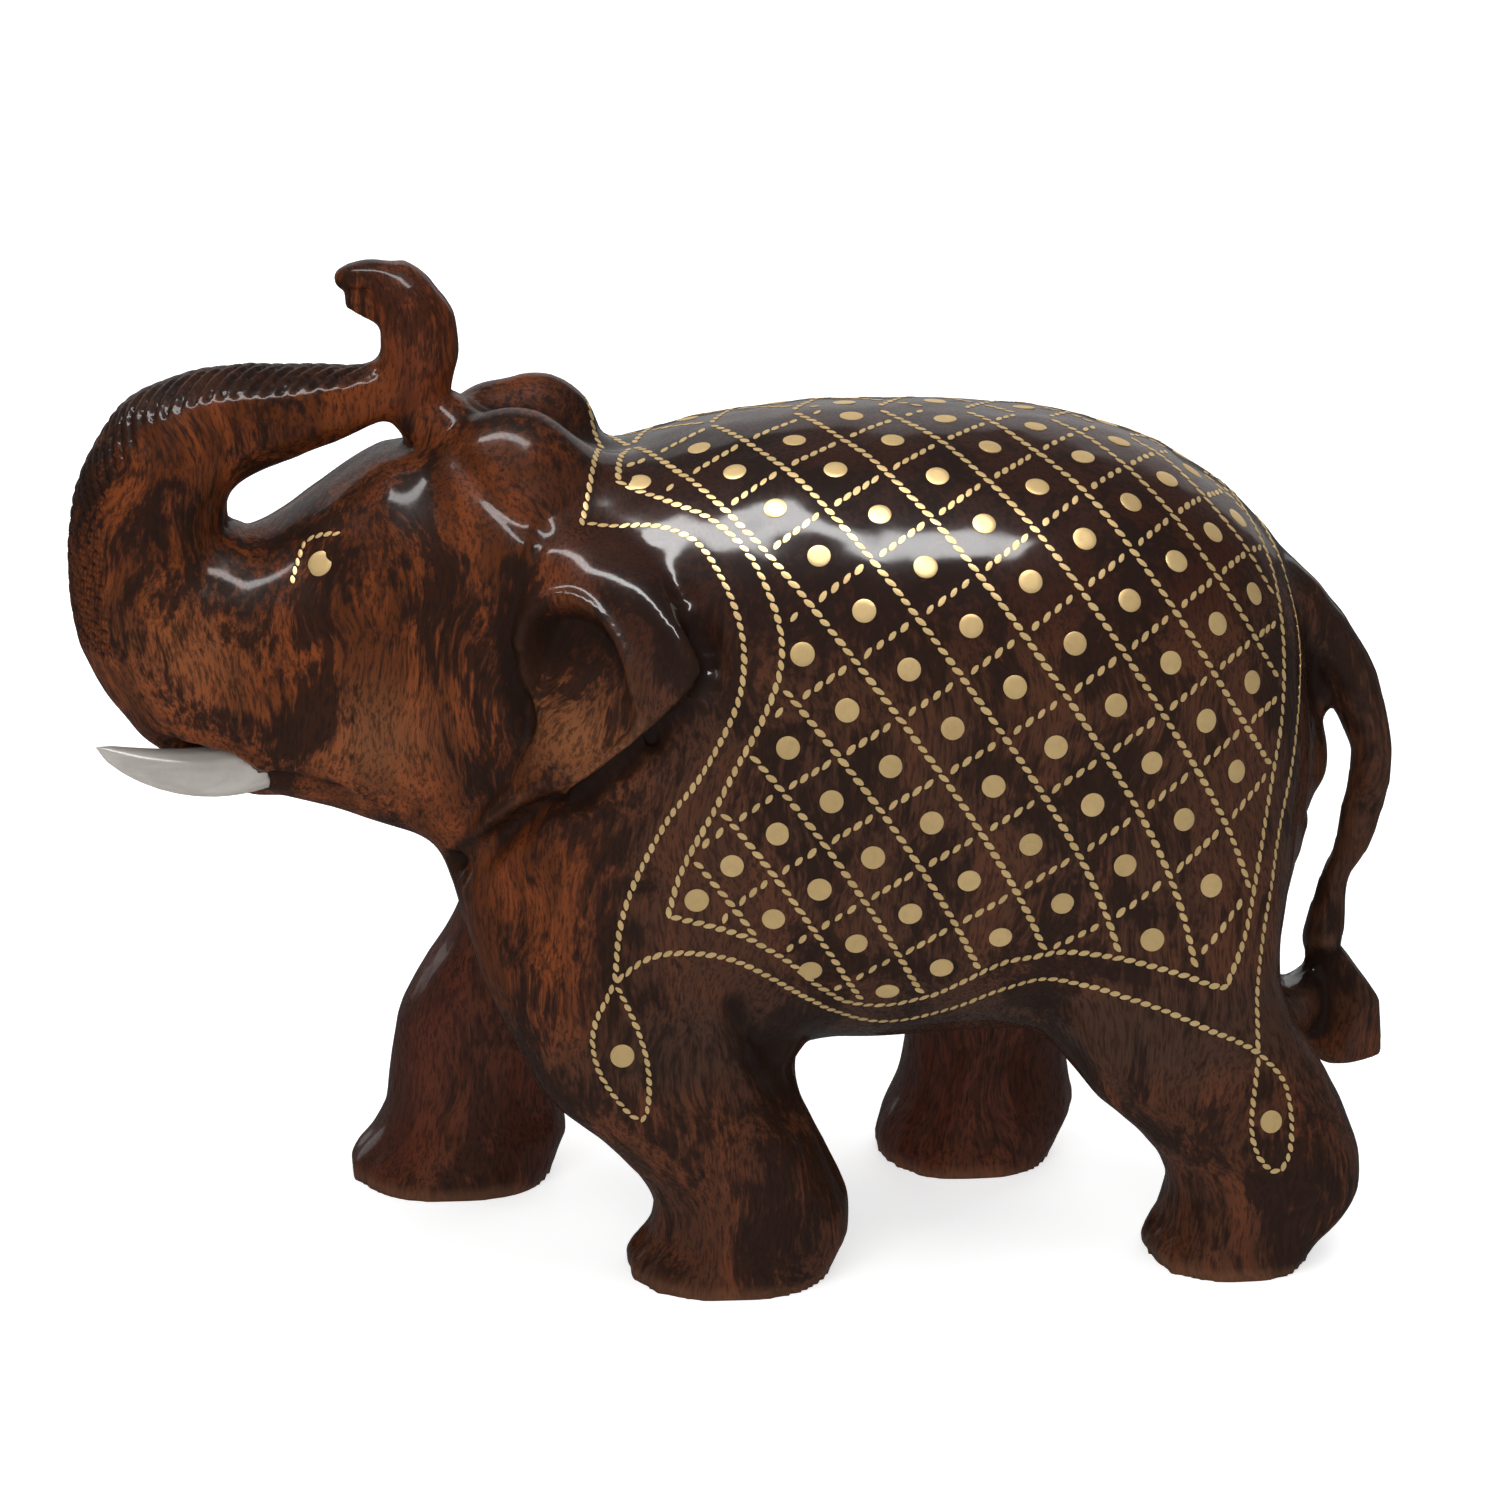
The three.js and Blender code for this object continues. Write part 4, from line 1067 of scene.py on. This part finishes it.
ORANGE_BROWN = (0.165, 0.04, 0.010, 1)
MID_BROWN = (0.08, 0.021, 0.006, 1)
GREY_BROWN = (0.050, 0.024, 0.015, 1)
MAHOGANY = (0.085, 0.020, 0.010, 1)
BACK_RED = (0.034, 0.009, 0.005, 1)
LIGHT_BROWN = (0.22, 0.085, 0.034, 1)
# Dark grain, pores and mottle, and also the painted shade in creases.
NEAR_BLACK = (0.014, 0.007, 0.005, 1)
RUBBED = (0.20, 0.085, 0.04, 1)


def stained_wood():
    """Close-grained hardwood, stained in mottled browns, rubbed on its edges, with painted shade in its
    creases, and lacquered.
    """
    material, n, shader = new_material("stained_wood")
    place = n.add("ShaderNodeTexCoord").outputs["Object"]
    bend = n.add("ShaderNodeTexNoise", {"Vector": place, "Scale": 42.0, "Detail": 1.0})
    halves = {0: bend.outputs["Color"], 1: (0.5, 0.5, 0.5)}
    shift = n.add("ShaderNodeVectorMath", halves, operation="SUBTRACT")
    scaled = n.add("ShaderNodeVectorMath", {0: shift.outputs[0], "Scale": 0.012}, operation="SCALE")
    bent = n.add("ShaderNodeVectorMath", {0: place, 1: scaled.outputs[0]}, operation="ADD").outputs[0]
    fibres = n.add("ShaderNodeMapping", {"Vector": bent, "Scale": (1, 1, 0.17)}).outputs[0]

    dark_region = n.add("ShaderNodeAttribute", attribute_name="dark_region").outputs["Fac"]
    red_region = n.add("ShaderNodeAttribute", attribute_name="red_region").outputs["Fac"]
    crease = n.add("ShaderNodeAttribute", attribute_name="crease").outputs["Fac"]
    rubbed = n.add("ShaderNodeAttribute", attribute_name="rubbed").outputs["Fac"]
    back_region = n.add("ShaderNodeAttribute", attribute_name="back_region").outputs["Fac"]
    light_region = n.add("ShaderNodeAttribute", attribute_name="light_region").outputs["Fac"]

    fibre = n.noise(fibres, 1900.0, 3.0, 0.6)
    pores = n.between(n.noise(fibres, 2900.0, 2.0, 0.5), 0.58, 0.7)
    tone = n.mix(n.between(n.noise(fibres, 150.0, 3.0, 0.6), 0.4, 0.62), MID_BROWN, ORANGE_BROWN)
    tone = n.mix(n.maths("MULTIPLY", dark_region, 0.95), tone, GREY_BROWN)
    tone = n.mix(n.maths("MULTIPLY", red_region, 0.8), tone, MAHOGANY)
    tone = n.mix(n.maths("MULTIPLY", back_region, 0.8), tone, BACK_RED)
    tone = n.mix(n.maths("MULTIPLY", light_region, 0.7), tone, LIGHT_BROWN)
    wide = n.add("ShaderNodeMapping", {"Vector": bent, "Scale": (1, 1, 0.6)}).outputs[0]
    lifted = n.maths("MULTIPLY", light_region, 0.1)
    mottle = patches(n, wide, 62.0, 0.55, n.maths("ADD", lifted, 0.44), n.maths("ADD", lifted, 0.57))
    calm = n.maths("ADD", n.maths("MULTIPLY", red_region, 0.45), n.maths("MULTIPLY", dark_region, 0.1))
    depth = n.maths("MULTIPLY", mottle, n.maths("SUBTRACT", 0.88, calm))
    tone = n.mix(depth, tone, NEAR_BLACK)
    streak = n.maths("MULTIPLY", n.between(fibre, 0.46, 0.62), 0.6)
    tone = n.mix(streak, tone, NEAR_BLACK)
    tone = n.mix(n.maths("MULTIPLY", pores, 0.6), tone, NEAR_BLACK)
    tone = n.mix(n.maths("MULTIPLY", rubbed, 0.35), tone, RUBBED)
    # Painted shade: hollows, the trunk's notches and the ground round the ear go towards near black.
    tone = n.mix(n.maths("MULTIPLY", crease, 0.9), tone, NEAR_BLACK)
    n.set(shader.inputs["Base Color"], tone)

    dull = n.maths("ADD", 0.36, n.maths("MULTIPLY", n.between(fibre, 0.3, 0.7), 0.2))
    n.set(shader.inputs["Roughness"], dull)
    lacquer = n.noise(place, 420.0, 2.0, 0.5)
    coarse = n.noise(place, 90.0, 2.0, 0.5)
    height = n.maths("ADD", n.maths("MULTIPLY", lacquer, 0.35), coarse)
    height = n.maths("SUBTRACT", height, n.maths("MULTIPLY", pores, 0.15))
    relief = n.add("ShaderNodeBump", {"Strength": 0.35, "Distance": 0.0006, "Height": height})
    n.set(shader.inputs["Normal"], relief.outputs[0])
    n.set(shader.inputs["Coat Weight"], n.maths("ADD", 0.3, n.maths("MULTIPLY", dark_region, 0.42)))
    shader.inputs["Coat Roughness"].default_value = 0.13
    shader.inputs["Coat IOR"].default_value = 1.5
    shader.inputs["Specular IOR Level"].default_value = 0.06
    return material


BRIGHT_BRASS = (0.90, 0.64, 0.30, 1)
DULL_BRASS = (0.56, 0.39, 0.17, 1)


def filed_brass():
    """Brass filed flush, satin, with a little tarnish that differs from piece to piece."""
    material, n, shader = new_material("filed_brass")
    place = n.add("ShaderNodeTexCoord").outputs["Object"]
    tarnish = n.add("ShaderNodeAttribute", attribute_name="tarnish").outputs["Fac"]
    mask = patches(n, place, 420.0, 0.3, 0.4, 0.75)
    share = n.maths("MULTIPLY", n.maths("ADD", n.maths("MULTIPLY", mask, 0.5), tarnish), 0.42, clamp=True)
    n.set(shader.inputs["Base Color"], n.mix(share, BRIGHT_BRASS, DULL_BRASS))
    n.set(shader.inputs["Roughness"], n.maths("ADD", 0.36, n.maths("MULTIPLY", share, 0.25)))
    scratches = n.add("ShaderNodeMapping", {"Vector": place, "Scale": (1, 1, 0.12)}).outputs[0]
    height = n.noise(scratches, 4200.0, 2.0)
    relief = n.add("ShaderNodeBump", {"Strength": 0.25, "Distance": 0.0001, "Height": height})
    n.set(shader.inputs["Normal"], relief.outputs[0])
    shader.inputs["Metallic"].default_value = 0.6
    return material


IVORY_WHITE = (0.40, 0.37, 0.34, 1)
IVORY_GREY = (0.25, 0.225, 0.205, 1)


def polished_ivory():
    """White resin made to look like ivory, a little cloudy and grey."""
    material, n, shader = new_material("polished_ivory")
    place = n.add("ShaderNodeTexCoord").outputs["Object"]
    stretched = n.add("ShaderNodeMapping", {"Vector": place, "Scale": (0.35, 1, 1)}).outputs[0]
    cloud = patches(n, stretched, 160.0, 0.15, 0.4, 0.75)
    n.set(shader.inputs["Base Color"], n.mix(n.maths("MULTIPLY", cloud, 0.7), IVORY_WHITE, IVORY_GREY))
    n.set(shader.inputs["Roughness"], n.maths("ADD", 0.3, n.maths("MULTIPLY", cloud, 0.15)))
    height = n.noise(stretched, 500.0)
    relief = n.add("ShaderNodeBump", {"Strength": 0.15, "Distance": 0.0003, "Height": height})
    n.set(shader.inputs["Normal"], relief.outputs[0])
    shader.inputs["Coat Weight"].default_value = 0.3
    return material


# ---------------- floor, light and camera


def pale_floor():
    bpy.ops.mesh.primitive_circle_add(vertices=96, radius=7, fill_type="NGON")
    floor = bpy.context.object
    floor.name = "floor"
    material, _, shader = new_material("floor_paper")
    shader.inputs["Base Color"].default_value = (0.86, 0.86, 0.86, 1)
    shader.inputs["Roughness"].default_value = 0.9
    shader.inputs["Specular IOR Level"].default_value = 0.1
    shader.inputs["Emission Color"].default_value = (1, 1, 1, 1)
    shader.inputs["Emission Strength"].default_value = 0.62
    floor.data.materials.append(material)
    floor.visible_glossy = False


def soft_box(name, place, size, power, target=(0, 0, 0.08)):
    light = bpy.data.lights.new(name, "AREA")
    light.shape = "RECTANGLE"
    light.size, light.size_y = size
    light.energy = power
    lamp = bpy.data.objects.new(name, light)
    lamp.location = place
    lamp.rotation_euler = (Vector(target) - Vector(place)).to_track_quat("-Z", "Y").to_euler()
    bpy.context.scene.collection.objects.link(lamp)
    return lamp


def studio():
    """Lights for shine, which don't fill the shadows, and soft fills, which don't shine."""
    shines = {
        "overhead": ((-0.1, -0.14, 0.85), (0.9, 0.14), 8),
        "backdrop": ((0, 3, 1.1), (5, 2.2), 20),
    }
    for name, (place, size, power) in shines.items():
        shine = soft_box(name, place, size, power)
        shine.visible_diffuse = False
    fills = {
        "top_fill": ((0, 0, 2.2), (2.6, 2.6), 36),
        "front_fill": ((-0.6, -1.9, 1.1), (1.8, 1.4), 26),
        "back_fill": ((0.8, 1.9, 1.3), (1.8, 1.4), 22),
    }
    for name, (place, size, power) in fills.items():
        fill = soft_box(name, place, size, power)
        fill.visible_glossy = False
    world = bpy.data.worlds.new("room")
    bpy.context.scene.world = world
    world.use_nodes = True
    world.node_tree.nodes["Background"].inputs["Color"].default_value = (1, 1, 1, 1)
    world.node_tree.nodes["Background"].inputs["Strength"].default_value = 0.07
    bpy.context.scene.view_settings.view_transform = "Standard"


VIEW = {"azimuth": -6, "elevation": 16.5, "distance": 1.1, "width": 0.23155, "x": 0.00243, "z": 0.075}
SENSOR = 36


def set_camera():
    camera = bpy.data.cameras.new("camera")
    camera.sensor_width = SENSOR
    camera.lens = SENSOR * VIEW["distance"] / VIEW["width"]
    camera.clip_start = 0.01
    stand = bpy.data.objects.new("camera", camera)
    bpy.context.scene.collection.objects.link(stand)
    a, e = math.radians(VIEW["azimuth"]), math.radians(VIEW["elevation"])
    back = Vector((math.sin(a) * math.cos(e), -math.cos(a) * math.cos(e), math.sin(e)))
    target = Vector((VIEW["x"], 0, VIEW["z"]))
    stand.location = target + back * VIEW["distance"]
    stand.rotation_euler = back.to_track_quat("Z", "Y").to_euler()
    bpy.context.scene.camera = stand


# ---------------- putting it together

wood = stained_wood()
brass = filed_brass()
ivory = polished_ivory()

body = carved_body()
skin = Skin(body)
finish_piece(body, wood, ["carved_body"])
for side in SIDES:
    inlay(skin, side, brass)
    ivory_tusk(side, ivory)

pale_floor()
studio()
set_camera()
